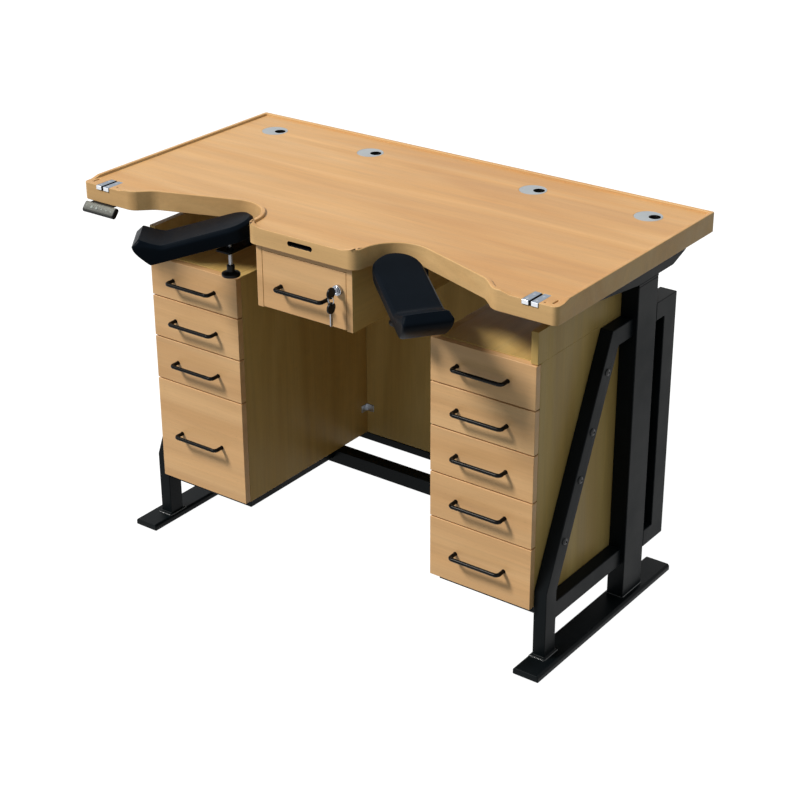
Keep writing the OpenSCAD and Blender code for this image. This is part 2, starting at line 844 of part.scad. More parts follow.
module pedestal_drawer(x, heights, i) color(beech_front) {
    z = front_bottom(heights, i);
    translate([x - pedestal_w / 2, pedestal_front, z + front_gap / 2])
        cube([pedestal_w, front_t, heights[i] - front_gap]);
    drawer_box(x, inner_w - 2 * side_gap, pedestal_front + front_t + glue, box_z(z),
        heights[i] - box_drop, box_l);
}

// Bow handle of round bar, its legs square to a front whose face is at y
module handle(x, y, z) color(pad_black) translate([x, y, z]) {
    reach = handle_out - handle_r;
    for (s = [-1, 1]) translate([s * handle_l / 2, 0, 0]) {
        rotate([90, 0, 0]) cylinder(r = handle_foot_r, h = handle_foot_t);
        rotate([90, 0, 0]) cylinder(r = handle_r, h = reach - handle_bend);
        translate([-s * handle_bend, -reach + handle_bend, 0])
            rotate([0, 0, s > 0 ? -90 : 180]) rotate_extrude(angle = 90)
                translate([handle_bend, 0]) circle(r = handle_r);
    }
    translate([-handle_l / 2 + handle_bend, -reach, 0]) rotate([0, 90, 0])
        cylinder(r = handle_r, h = handle_l - 2 * handle_bend);
}

function front_mid(heights, i) = front_bottom(heights, i) + heights[i] / 2;

module left_drawer(i) pedestal_drawer(-pedestal_mid, left_heights, i);
module right_drawer(i) pedestal_drawer(pedestal_mid, right_heights, i);
module left_handle(i) handle(-pedestal_mid, pedestal_front, front_mid(left_heights, i));
module right_handle(i) handle(pedestal_mid, pedestal_front, front_mid(right_heights, i));

// Case for the centre drawer: two sides, a top with the lock's strike, and a back
module centre_case() color(beech) {
    for (s = [-1, 1])
        translate([s > 0 ? case_w / 2 - case_wall : -case_w / 2, case_front, case_z])
            cube([case_wall, case_d, case_h]);
    inside = case_inner - 2 * glue;
    translate([-inside / 2, case_front, under_z - case_top_t])
        cube([inside, case_d - case_back_t - glue, case_top_t]);
    translate([-inside / 2, case_front + case_d - case_back_t, case_z])
        cube([inside, case_back_t, case_h]);
    translate([lock_x - strike_w / 2, case_front + front_t + lock_back - strike_t - run,
        under_z - case_top_t - strike_h])
        cube([strike_w, strike_t, strike_h]);
}

module centre_drawer() color(beech_front) {
    difference() {
        translate([-centre_front_w / 2, case_front, centre_front_z])
            cube([centre_front_w, front_t, centre_front_h]);
        translate([lock_x, case_front - cut, lock_z]) rotate([-90, 0, 0])
            cylinder(r = lock_r + fit, h = front_t + 2 * cut);
    }
    drawer_box(0, case_inner - 2 * side_gap, case_front + front_t + glue,
        centre_box_z, centre_box_h, centre_box_l);
}

module centre_handle() handle(0, case_front, centre_handle_z);

// Lock housing through the drawer front
module drawer_lock() color(silver)
    translate([lock_x, case_front, lock_z]) rotate([90, 0, 0]) difference() {
        union() {
            translate([0, 0, -front_t]) cylinder(r = lock_r, h = front_t + lock_out);
            cylinder(r = lock_flange_r, h = lock_out);
        }
        translate([0, 0, -front_t - cut]) cylinder(r = plug_r + fit, h = front_t + lock_out + 2 * cut);
    }

// Flat oval head of a key, in the plane of Y and Z
module key_head() rotate([0, 90, 0]) difference() {
    cylinder(r = key_head_r, h = key_head_t, center = true);
    translate([key_eye_in, 0, 0])
        cylinder(r = key_eye_r, h = key_head_t + 2 * cut, center = true);
}

key_head_y = case_front - lock_out - key_head_gap - key_head_r;

// Key in the lock, with the plug and the cam that it turns
module drawer_key() {
    color(silver) translate([lock_x, 0, lock_z]) {
        translate([0, case_front - lock_out + fit, 0]) rotate([-90, 0, 0])
            cylinder(r = plug_r, h = lock_out + front_t + lock_back + cam_root - fit);
        translate([-cam_w / 2, case_front + front_t + lock_back, -cam_w / 2])
            cube([cam_l, cam_t, cam_w]);
        translate([-key_blade[0] / 2, case_front - lock_out - key_head_gap - key_root, -key_blade[2] / 2])
            cube([key_blade[0], key_head_gap + 2 * key_root, key_blade[2]]);
    }
    color(pad_black) translate([lock_x, key_head_y, lock_z]) key_head();
}

ring_top_z = lock_z - key_eye_in - key_eye_r + ring_wire_r + 2 * run;
spare_head_z = ring_top_z - 2 * ring_r - key_head_r + key_root;

// Second key, hanging by its ring from the head of the first
module spare_key() {
    color(silver) {
        translate([lock_x, key_head_y, ring_top_z - ring_r]) rotate([90, 0, 0])
            rotate_extrude() translate([ring_r, 0]) circle(r = ring_wire_r, $fn = 16);
        translate([lock_x - key_blade[0] / 2, key_head_y - key_blade[2] / 2,
            spare_head_z - key_head_r - spare_blade_l])
            cube([key_blade[0], key_blade[2], spare_blade_l + key_root]);
    }
    color(pad_black) translate([lock_x, key_head_y, spare_head_z]) mirror([0, 0, 1]) key_head();
}

// Arm under the table: a channel, deepest over the column
module table_arms() color(steel_black) both_sides() difference() {
    extrude_x(column_x, column_w) polygon([
        [arm_front_y, under_z], [arm_front_y, under_z - arm_front_h],
        [column_front, under_z - arm_low], [arm_flat_back, under_z - arm_low],
        [arm_back_y, under_z - arm_back_h], [arm_back_y, under_z]]);
    translate([column_x + arm_wall, arm_front_y - cut, under_z - arm_wall - arm_low])
        cube([column_w - 2 * arm_wall, arm_back_y - arm_front_y + 2 * cut, arm_low]);
    translate([grommet_outer_x, grommet_y, under_z - arm_notch])
        cylinder(r = grommet_barrel_r + cut, h = arm_notch + cut);
}

// Inner column tubes with their head plates
module inner_columns() color(brass_grey) both_sides() {
    gap = column_wall + inner_gap;
    size = [column_w - 2 * gap, column_d - 2 * gap, under_z - arm_low - head_t - inner_bottom];
    translate([column_x + gap, column_front + gap, inner_bottom]) tube_z(size, inner_wall);
    translate([column_x, column_front, under_z - arm_low - head_t]) difference() {
        cube([column_w, column_d, head_t]);
        translate([column_w / 2, column_d / 2, -cut]) cylinder(r = drive_r + cut, h = head_t + 2 * cut);
    }
}

// Motors in the arms, over the columns
module lift_motors() color(steel_black) both_sides()
    translate([column_x + column_w / 2 - motor_t / 2, column_mid - motor_l / 2, under_z - arm_low])
        difference() {
            cube([motor_t, motor_l, motor_h]);
            translate([motor_t / 2, motor_l / 2, -cut]) cylinder(r = drive_r + fit, h = motor_socket + cut);
        }

// Screw that the motor turns in the nut on the pillar
module drive_screw(side) color(silver)
    translate([side * (column_x + column_w / 2), column_mid, drive_bottom])
        cylinder(r = drive_r, h = under_z - arm_low + motor_socket - drive_end_gap - drive_bottom);

module drive_screw_left() drive_screw(-1);
module drive_screw_right() drive_screw(1);

module cross_beam() color(steel_black)
    translate([-column_x, column_mid - beam_d / 2, under_z - beam_h])
        tube_x([2 * column_x, beam_d, beam_h], tube_wall);

module control_box() color(steel_black)
    translate([box_x, box_y, under_z - box_size[2]]) difference() {
        cube(box_size);
        for (i = [1:3]) translate([(i * box_size[0] - 2 * socket_size[0]) / 4,
            box_size[1] - socket_size[1], (box_size[2] - socket_size[2]) / 2])
            cube([socket_size[0], socket_size[1] + cut, socket_size[2]]);
    }

// Stepped bracket under the board: its plate reaches under the pad and holds the screw's nut
module armrest_brackets() color(steel_black) both_sides() {
    y = arm_origin[1] - bracket_nose;
    x = arm_x - bracket_half;
    difference() {
        union() {
            translate([x, y, plate_z])
                cube([2 * bracket_half, bracket_web_y + bracket_plate_t - y, bracket_plate_t]);
            translate([x, bracket_web_y, plate_z])
                cube([2 * bracket_half, bracket_plate_t, under_z - plate_z]);
            translate([x, bracket_web_y, under_z - bracket_plate_t])
                cube([2 * bracket_half, bracket_flange_l, bracket_plate_t]);
            translate([arm_x, arm_origin[1], plate_z + bracket_plate_t]) cylinder(r = nut_r, h = nut_h);
            for (k = [-1, 1])
                translate([arm_x + k * (bracket_half - bracket_screw_r - bracket_screw_h),
                    bracket_web_y + bracket_flange_l - bracket_screw_in,
                    under_z - bracket_plate_t - bracket_screw_h])
                    cylinder(r = bracket_screw_r, h = bracket_screw_h);
        }
        translate([arm_x, arm_origin[1], plate_z - cut])
            cylinder(d = screw_d + 2 * fit, h = bracket_plate_t + nut_h + 2 * cut);
    }
}

// Height screw with its knob
module armrest_screw(side) {
    translate([side * arm_x, arm_origin[1], 0]) {
        color(silver) translate([0, 0, knob_z + knob_disc_h + knob_collar_h / 2])
            cylinder(d = screw_d, h = screw_top - knob_z - knob_disc_h - knob_collar_h / 2);
        color(pad_black) translate([0, 0, knob_z]) rotate_extrude() polygon([[0, 0],
            [knob_d / 2, 0], [knob_d / 2, knob_rim_h], [knob_collar_r, knob_disc_h],
            [knob_collar_r, knob_disc_h + knob_collar_h], [0, knob_disc_h + knob_collar_h]]);
    }
}

module armrest_screw_left() armrest_screw(-1);
module armrest_screw_right() armrest_screw(1);

// Flanged bush in the pad's hub: the screw turns in it and carries it up and down
module armrest_bush(side) color(silver) translate([side * arm_x, arm_origin[1], hub_z]) difference() {
    union() {
        cylinder(r = bush_r, h = bush_h);
        translate([0, 0, -bush_flange_t]) cylinder(r = bush_flange_r, h = bush_flange_t);
    }
    translate([0, 0, -bush_flange_t - cut])
        cylinder(d = screw_d + 2 * fit, h = screw_bush_in + bush_flange_t + cut + run);
}

module armrest_bush_left() armrest_bush(-1);
module armrest_bush_right() armrest_bush(1);

// Rounded corner of the pad: a pair of balls across it, inside the point u along and w up
module pad_corner(u, w) {
    for (s = [-1, 1]) translate([u, s * (arm_r - arm_round), w]) sphere(r = arm_round, $fn = 32);
}

// Ring of the round inner end, its outer edge at radius r and its middle w up
module pad_ring(r, w) translate([0, 0, w]) rotate_extrude($fn = 64)
    translate([r - arm_round, 0]) circle(r = arm_round, $fn = 32);

// Armrest pad: round inner end, ramp and bevelled nose at the outer end, hub below
module armrest() color(pad_black) difference() {
    union() {
        translate(arm_origin) rotate([0, 0, arm_yaw - 90]) rotate([0, arm_tilt, 0]) {
            hull() {
                pad_ring(arm_r, -arm_round);
                pad_ring(arm_r - arm_draft, arm_round - arm_t);
                pad_corner(arm_crease, -arm_round);
                pad_corner(arm_under_u - arm_draft, -arm_round);
                pad_corner(arm_under_u - arm_draft, arm_round - arm_t);
            }
            hull() {
                pad_corner(arm_crease, -arm_round);
                pad_corner(arm_crease, arm_round - arm_t);
                pad_corner(arm_lip_u - arm_round / 2, arm_lip_h - arm_round);
                pad_corner(arm_reach - arm_round, arm_nose_h - arm_round);
                pad_corner(arm_under_u - arm_draft, arm_round - arm_t);
            }
        }
        translate([arm_x, arm_origin[1], hub_z]) cylinder(r = hub_r, h = hub_h + hub_root);
    }
    translate([arm_x, arm_origin[1], hub_z - cut]) cylinder(r = bush_r + fit, h = bush_h + fit + cut);
}

module armrest_right() armrest();
module armrest_left() mirror([1, 0, 0]) armrest();

// Hand control under the left corner: a round-edged slab that leans to the user, on a tab
module handset() color(steel_black) difference() {
    union() {
        extrude_x(handset_x, handset_w) polygon(concat(
            arc(handset_top, handset_r, 180 - handset_lean, -handset_lean),
            arc(handset_low, handset_r, -handset_lean, -180 - handset_lean)));
        translate([handset_x + handset_tab_in, front_y - handset_set, under_z - handset_tab_h])
            cube([handset_w - 2 * handset_tab_in, handset_tab_l, handset_tab_h]);
    }
    for (i = [0, 1]) button_place(i) translate([0, 0, -button_sink])
        cylinder(r = button_r + fit, h = button_sink + cut);
}

// Place on the leaning face for button i, its Z square to the face
module button_place(i)
    translate([handset_x + button_first + i * button_pitch, handset_mid[0], handset_mid[1]])
        rotate([90 - handset_lean, 0, 0]) translate([0, 0, handset_r]) children();

module handset_button(i) color(silver) button_place(i)
    translate([0, 0, button_h - button_sink + fit]) cylinder(r = button_r, h = button_sink - button_h / 2);

module handset_up_button() handset_button(0);
module handset_down_button() handset_button(1);

foot_bars();
foot_pads();
outer_column_left();
outer_column_right();
side_frame_left();
side_frame_right();
cross_rails();
pedestal_bases();
back_panel();
panel_brackets();
pedestal_sides();
pedestal_boards();
side_upstands();
post_bolts();
drawer_runners();
tabletop();
table_arms();
inner_columns();
lift_motors();
cross_beam();
centre_case();
centre_runners();
armrest_brackets();
corner_plates();
cable_grommets();
handset();
handset_up_button();
handset_down_button();
control_box();
drive_screw_left();
drive_screw_right();
for (i = [0:len(left_heights) - 1]) {
    left_drawer(i);
    left_handle(i);
}
for (i = [0:len(right_heights) - 1]) {
    right_drawer(i);
    right_handle(i);
}
centre_drawer();
centre_handle();
drawer_lock();
drawer_key();
spare_key();
armrest_left();
armrest_right();
armrest_bush_left();
armrest_bush_right();
armrest_screw_left();
armrest_screw_right();
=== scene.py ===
# Looks of the height-adjustable watchmaker's bench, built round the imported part.
import json
import math
import re

import bmesh
import bpy
from mathutils import Matrix, Vector


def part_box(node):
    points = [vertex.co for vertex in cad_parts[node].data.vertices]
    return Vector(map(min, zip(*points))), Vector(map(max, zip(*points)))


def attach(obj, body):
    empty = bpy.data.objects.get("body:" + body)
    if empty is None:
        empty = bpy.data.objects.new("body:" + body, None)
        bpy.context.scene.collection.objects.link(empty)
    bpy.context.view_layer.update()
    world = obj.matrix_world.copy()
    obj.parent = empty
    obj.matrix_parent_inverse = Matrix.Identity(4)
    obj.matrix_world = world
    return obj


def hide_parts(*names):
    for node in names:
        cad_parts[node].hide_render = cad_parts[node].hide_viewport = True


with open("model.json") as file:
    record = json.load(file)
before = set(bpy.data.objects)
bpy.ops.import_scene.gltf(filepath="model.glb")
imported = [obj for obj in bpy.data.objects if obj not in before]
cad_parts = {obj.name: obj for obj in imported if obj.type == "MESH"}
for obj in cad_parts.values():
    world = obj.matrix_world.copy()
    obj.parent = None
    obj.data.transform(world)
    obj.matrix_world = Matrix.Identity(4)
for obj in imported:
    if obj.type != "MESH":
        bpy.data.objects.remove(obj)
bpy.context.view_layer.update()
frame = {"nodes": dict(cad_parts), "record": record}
NODES = frame["nodes"]
RECORD = frame["record"]
BODY_OF = {n: b for b, ns in RECORD["behaviour"]["bodies"].items() for n in ns}
SLOT_OF = {s["node"]: s["material_slot"] for s in RECORD["subparts"]}
MM = 0.001


def box(node):
    lo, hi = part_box(node)
    return Vector(lo), Vector(hi)


FRONT = box("tabletop")[0].y
TOP = box("tabletop")[1].z

# ---------------------------------------------------------------- camera, as solved
PIXELS = 800
FOCAL = 1825.195
CENTRE = (407.075, 383.340)
camera_data = bpy.data.cameras.new("camera")
camera = bpy.data.objects.new("camera", camera_data)
bpy.context.scene.collection.objects.link(camera)
right = Vector((0.80755592, 0.58978404, -0.00286639))
up = Vector((-0.24976494, 0.34638279, 0.90423251))
forward = Vector((-0.53429478, 0.72950239, -0.42703085))
turn = Matrix((right, up, -forward)).transposed().to_4x4()
camera.matrix_world = Matrix.Translation((2.17513617, -2.60995347 + FRONT, 2.14263164)) @ turn
camera_data.sensor_width = 36
camera_data.lens = FOCAL / PIXELS * 36
camera_data.shift_x = (PIXELS / 2 - CENTRE[0]) / PIXELS
camera_data.shift_y = (CENTRE[1] - PIXELS / 2) / PIXELS
camera_data.clip_end = 50
bpy.context.scene.camera = camera


# ---------------------------------------------------------------- materials
class Mat:
    """A Principled material with a few node helpers."""

    def __init__(self, name, rough=0.5, metal=0.0, spec=0.5):
        self.m = bpy.data.materials.new(name)
        self.m.use_nodes = True
        self.t = self.m.node_tree
        self.b = self.t.nodes["Principled BSDF"]
        self.b.inputs["Roughness"].default_value = rough
        self.b.inputs["Metallic"].default_value = metal
        self.b.inputs["Specular IOR Level"].default_value = spec
        self.where = self.t.nodes.new("ShaderNodeTexCoord").outputs["Object"]

    def node(self, kind, **sockets):
        n = self.t.nodes.new(kind)
        for k, v in sockets.items():
            self.put(n.inputs[k.replace("_", " ")], v)
        return n

    def put(self, socket, value):
        if hasattr(value, "is_output"):
            self.t.links.new(value, socket)
        else:
            socket.default_value = value

    def map(self, scale=(1, 1, 1), loc=(0, 0, 0)):
        n = self.t.nodes.new("ShaderNodeMapping")
        self.put(n.inputs["Vector"], self.where)
        n.inputs["Location"].default_value = loc
        n.inputs["Scale"].default_value = scale
        return n.outputs["Vector"]

    def noise(self, vector, scale=5.0, detail=2.0, rough=0.5, distort=0.0):
        n = self.t.nodes.new("ShaderNodeTexNoise")
        self.put(n.inputs["Vector"], vector)
        n.inputs["Scale"].default_value = scale
        n.inputs["Detail"].default_value = detail
        n.inputs["Roughness"].default_value = rough
        n.inputs["Distortion"].default_value = distort
        return n.outputs["Fac"]

    def ramp(self, fac, stops):
        n = self.t.nodes.new("ShaderNodeValToRGB")
        self.put(n.inputs["Fac"], fac)
        e = n.color_ramp.elements
        e[0].position, e[0].color = stops[0][0], (*stops[0][1], 1)
        e[1].position, e[1].color = stops[-1][0], (*stops[-1][1], 1)
        for p, c in stops[1:-1]:
            x = e.new(p)
            x.color = (*c, 1)
        return n.outputs["Color"]

    def range(self, fac, a, b, c, d):
        """fac from the range a to b into the range c to d."""
        n = self.t.nodes.new("ShaderNodeMapRange")
        for k, v in (("Value", fac), ("From Min", a), ("From Max", b),
                     ("To Min", c), ("To Max", d)):
            self.put(n.inputs[k], v)
        return n.outputs["Result"]

    def mix(self, fac, a, b, mode="MIX"):
        n = self.t.nodes.new("ShaderNodeMix")
        n.data_type = "RGBA"
        n.blend_type = mode
        self.put(n.inputs[0], fac)
        self.put(n.inputs[6], a)
        self.put(n.inputs[7], b)
        return n.outputs[2]

    def math(self, op, a, b=0.0):
        n = self.t.nodes.new("ShaderNodeMath")
        n.operation = op
        self.put(n.inputs[0], a)
        self.put(n.inputs[1], b)
        return n.outputs[0]

    def bump(self, height, strength, distance):
        n = self.t.nodes.new("ShaderNodeBump")
        self.put(n.inputs["Height"], height)
        n.inputs["Strength"].default_value = strength
        n.inputs["Distance"].default_value = distance
        return n.outputs["Normal"]

    def set(self, **sockets):
        for k, v in sockets.items():
            self.put(self.b.inputs[k.replace("_", " ")], v)
        return self.m


def linear(v):
    """An sRGB value of 0 to 255 as linear light of 0 to 1."""
    v /= 255
    return v / 12.92 if v <= 0.04045 else ((v + 0.055) / 1.055) ** 2.4


def lin(r, g, b):
    return (linear(r), linear(g), linear(b))


def grey_of(k, tone):
    """A value as a grey colour."""
    return k.node("ShaderNodeCombineColor", Red=tone, Green=tone, Blue=tone).outputs[0]


def wood(name, tones, grain="x", seed=0.0, bands=1.0, rough=0.42, spec=0.2):
    """Beech: long soft bands, fine streaks and short flecks along the grain."""
    k = Mat(name, rough=rough, spec=spec)
    i = "xyz".index(grain)

    def along(a, c):
        s = [c, c, c]
        s[i] = a
        return tuple(s)

    shift = (seed * 1.7, seed * 0.9 + 0.3, seed * 1.3)
    broad = k.noise(k.map(along(0.75, 6.0 * bands), loc=shift), 1.6, 4.0, 0.5, 0.9)
    waves = k.noise(k.map(along(1.6, 26.0), loc=shift), 1.0, 3.0, 0.55, 1.2)
    streak = k.noise(k.map(along(5.0, 230.0), loc=shift), 1.0, 2.0, 0.6, 0.3)
    fleck = k.noise(k.map(along(95.0, 900.0), loc=shift), 1.0, 1.0, 0.5)
    dark, mid, light = (lin(*t) for t in tones)
    base = k.ramp(broad, [(0.33, dark), (0.5, mid), (0.68, light)])
    wave = k.range(waves, 0.3, 0.7, 0.93, 1.05)
    fine = k.range(streak, 0.3, 0.7, 0.965, 1.03)
    spot = k.range(fleck, 0.66, 0.74, 1.0, 0.87)
    tone = k.math("MULTIPLY", k.math("MULTIPLY", wave, fine), spot)
    colour = k.mix(1.0, base, grey_of(k, tone), "MULTIPLY")
    height = k.math("ADD", k.math("MULTIPLY", streak, 0.5), k.math("MULTIPLY", fleck, 0.5))
    k.set(Base_Color=colour, Roughness=k.range(waves, 0.3, 0.7, rough - 0.04, rough + 0.07),
          Normal=k.bump(height, 0.10, 0.0004))
    return k.m


TOP_TONES = ((204, 152, 98), (213, 163, 108), (222, 175, 121))
EDGE_TONES = ((207, 162, 109), (214, 172, 119), (220, 181, 128))
FRONT_TONES = ((212, 165, 114), (220, 174, 123), (228, 184, 133))
# The beech of the sides, the case and the inner boards is tinted olive: a painted shade tint.
SHADE_TINT_TONES = ((188, 154, 90), (199, 166, 101), (210, 178, 113))

wood_top = wood("beech_top", TOP_TONES, "x", 0.37)
wood_edge = wood("beech_edge", EDGE_TONES, "x", 4.1)
wood_case = wood("beech_case", SHADE_TINT_TONES, "y", 2.3)
wood_side = wood("beech_side", SHADE_TINT_TONES, "z", 1.1)
wood_panel = wood("beech_panel", SHADE_TINT_TONES, "z", 5.2)
wood_inner = wood("beech_inner", SHADE_TINT_TONES, "y", 7.4)
wood_fronts = [wood(f"beech_front_{i + 1}", FRONT_TONES, "x", 11.3 + 3.1 * i, 1.6, spec=0.4)
               for i in range(5)]


def plywood(name):
    """Birch ply: pale faces with a fine streaked bump."""
    k = Mat(name, rough=0.5)
    broad = k.noise(k.map((3.0, 0.8, 3.0)), 2.0, 3.0, 0.5, 1.0)
    streak = k.noise(k.map((200.0, 6.0, 200.0)), 1.0, 2.0)
    face = k.ramp(broad, [(0.3, lin(214, 184, 140)), (0.7, lin(230, 206, 168))])
    k.set(Base_Color=face, Normal=k.bump(streak, 0.08, 0.0004))
    return k.m


ply = plywood("birch_ply")


def powder(name, low=(7, 11, 13), high=(12, 17, 20), rough=0.42, spec=0.07):
    """Satin black powder coat with its orange peel."""
    k = Mat(name, rough=rough, spec=spec)
    peel = k.noise(k.map(), 900.0, 2.0, 0.5)
    cloud = k.noise(k.map(), 7.0, 3.0, 0.6)
    colour = k.ramp(cloud, [(0.3, lin(*low)), (0.7, lin(*high))])
    k.set(Base_Color=colour, Roughness=k.range(cloud, 0.3, 0.7, rough - 0.06, rough + 0.08),
          Normal=k.bump(peel, 0.12, 0.0003))
    return k.m


black_steel = powder("black_powder_coat")
black_bar = powder("black_handle", (2, 3, 4), (4, 6, 8), 0.26, 0.10)
bolt_black = powder("black_bolt", (5, 7, 8), (10, 12, 14), 0.25, 0.35)
# A lighter black for rounded edges and weld beads: its colour is a painted glint, its low
# roughness and high specular a real gloss.
glint_edge_black = powder("painted_glint_black", (26, 29, 32), (40, 44, 48), 0.22, 0.6)


def metal(name, colour, rough, along, strength=0.08):
    """Bright metal, brushed along the axis that is scaled down."""
    k = Mat(name, rough=rough, metal=1.0)
    brush = k.noise(k.map(along), 260.0, 3.0, 0.6)
    cloud = k.noise(k.map(), 22.0, 3.0, 0.6)
    c0 = tuple(0.86 * v for v in lin(*colour))
    k.set(Base_Color=k.ramp(cloud, [(0.25, c0), (0.75, lin(*colour))]),
          Roughness=k.range(brush, 0.3, 0.7, rough - 0.06, rough + 0.10),
          Normal=k.bump(brush, strength, 0.0003))
    return k.m


aluminium = metal("satin_aluminium", (228, 231, 236), 0.32, (1, 0.05, 1))
plate_top = metal("plate_aluminium", (150, 160, 172), 0.42, (1, 0.05, 1), 0.2)
zinc = metal("zinc_steel", (186, 190, 196), 0.34, (1, 1, 0.08))
chrome = metal("chrome", (168, 172, 180), 0.2, (1, 1, 1), 0.02)


def plastic(name, low, high, rough=0.45, grain=1400.0, strength=0.12):
    """Moulded plastic with a fine grain, between two colours."""
    k = Mat(name, rough=rough)
    fine = k.noise(k.map(), grain, 2.0, 0.6)
    cloud = k.noise(k.map(), 16.0, 2.0, 0.5)
    k.set(Base_Color=k.ramp(cloud, [(0.3, lin(*low)), (0.7, lin(*high))]),
          Roughness=k.range(cloud, 0.3, 0.7, rough - 0.04, rough + 0.06),
          Normal=k.bump(fine, strength, 0.0003))
    return k.m


black_plastic = plastic("black_plastic", (14, 15, 17), (20, 21, 23))
knob_plastic = plastic("knob_plastic", (10, 11, 13), (15, 16, 18), 0.34)
rubber = plastic("rubber", (18, 18, 18), (27, 27, 27), 0.75, 700.0, 0.3)
light_plastic = plastic("light_grey_plastic", (160, 165, 171), (171, 176, 182))
button_grey = plastic("button_grey", (112, 120, 116), (134, 142, 136))
# Black painted into recesses as their shade: the slot in the board's front edge, the grommets'
# barrels and the plates' grooves.
recess_shade_black = plastic("painted_recess_shade", (6, 6, 6), (9, 9, 9), 0.8)
for m in (black_plastic, knob_plastic, rubber, recess_shade_black):
    m.node_tree.nodes["Principled BSDF"].inputs["Specular IOR Level"].default_value = 0.15


def key_label(name):
    """Speckled grey film of the hand control, with painted shade darkening it towards its lower
    edge.
    """
    k = Mat(name, rough=0.5, spec=0.3)
    speck = k.noise(k.map(), 1500.0, 2.0, 0.7)
    cloud = k.noise(k.map((1, 3, 3)), 90.0, 3.0, 0.6)
    height = k.node("ShaderNodeSeparateXYZ", Vector=k.where).outputs["Z"]
    # Painted shade: the film darkens from its top towards its lower edge.
    low = k.range(height, LABEL_LOW, LABEL_TOP, 0.05, 1.15)
    grey = k.ramp(speck, [(0.36, lin(62, 64, 58)), (0.5, lin(104, 105, 99)),
                          (0.66, lin(160, 161, 154))])
    tone = k.math("MULTIPLY", low, k.range(cloud, 0.3, 0.7, 0.8, 1.1))
    k.set(Base_Color=k.mix(1.0, grey, grey_of(k, tone), "MULTIPLY"),
          Normal=k.bump(speck, 0.15, 0.0002))
    return k.m


# The painted shade on the label runs between these two heights.
LABEL_TOP = box("handset")[1].z - 4 * MM
LABEL_LOW = box("handset")[0].z + 5 * MM
label_grey = key_label("label_grey")


def pad_skin(name):
    """Moulded foam skin: near-black, a fine leather grain, a soft sheen."""
    k = Mat(name, rough=0.3, spec=0.022)
    v = k.t.nodes.new("ShaderNodeTexVoronoi")
    k.put(v.inputs["Vector"], k.map())
    v.inputs["Scale"].default_value = 620.0
    v.feature = "DISTANCE_TO_EDGE"
    cells = k.range(v.outputs["Distance"], 0.0, 0.22, 0.0, 1.0)
    cloud = k.noise(k.map(), 9.0, 3.0, 0.55)
    rub = k.noise(k.map(), 34.0, 4.0, 0.7)
    base = k.ramp(cloud, [(0.3, lin(8, 14, 21)), (0.7, lin(12, 19, 27))])
    k.set(Base_Color=base, Roughness=k.range(rub, 0.3, 0.7, 0.27, 0.38),
          Normal=k.bump(cells, 0.06, 0.0002))
    return k.m


pad_black = pad_skin("pad_skin")


# ---------------------------------------------------------------- pieces
def placed(name, mesh):
    """A mesh as an object of the scene."""
    ob = bpy.data.objects.new(name, mesh)
    bpy.context.scene.collection.objects.link(ob)
    return ob


def link(name, mesh, body, slot, *materials):
    """A piece that rides a body, with its materials. The slot is not used."""
    ob = placed(name, mesh)
    for m in materials:
        mesh.materials.append(m)
    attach(ob, body)
    return ob


def evaluated(ob):
    """The object's mesh as its modifiers leave it. The object is taken away."""
    deps = bpy.context.evaluated_depsgraph_get()
    me = bpy.data.meshes.new_from_object(ob.evaluated_get(deps),
                                         preserve_all_data_layers=True, depsgraph=deps)
    bpy.data.objects.remove(ob)
    return me


def block(bm, lo, hi):
    """A closed box between two corners."""
    c = [bm.verts.new((x, y, z))
         for x in (lo[0], hi[0]) for y in (lo[1], hi[1]) for z in (lo[2], hi[2])]
    for f in ((0, 1, 3, 2), (4, 6, 7, 5), (0, 4, 5, 1), (2, 3, 7, 6), (0, 2, 6, 4), (1, 5, 7, 3)):
        bm.faces.new([c[i] for i in f])


def carved(me, cuts):
    """A mesh with boxes taken out of it one after another, as a bmesh."""
    body = placed("body", me)
    knives = []
    for lo, hi in cuts:
        tool = bmesh.new()
        block(tool, lo, hi)
        bmesh.ops.recalc_face_normals(tool, faces=tool.faces)
        tool_me = bpy.data.meshes.new("knife")
        tool.to_mesh(tool_me)
        tool.free()
        knives.append(placed("knife", tool_me))
        mod = body.modifiers.new("cut", "BOOLEAN")
        mod.operation = "DIFFERENCE"
        mod.solver = "EXACT"
        mod.object = knives[-1]
    bm = bmesh.new()
    bm.from_object(body, bpy.context.evaluated_depsgraph_get())
    for ob in [body] + knives:
        bpy.data.objects.remove(ob)
    return bm


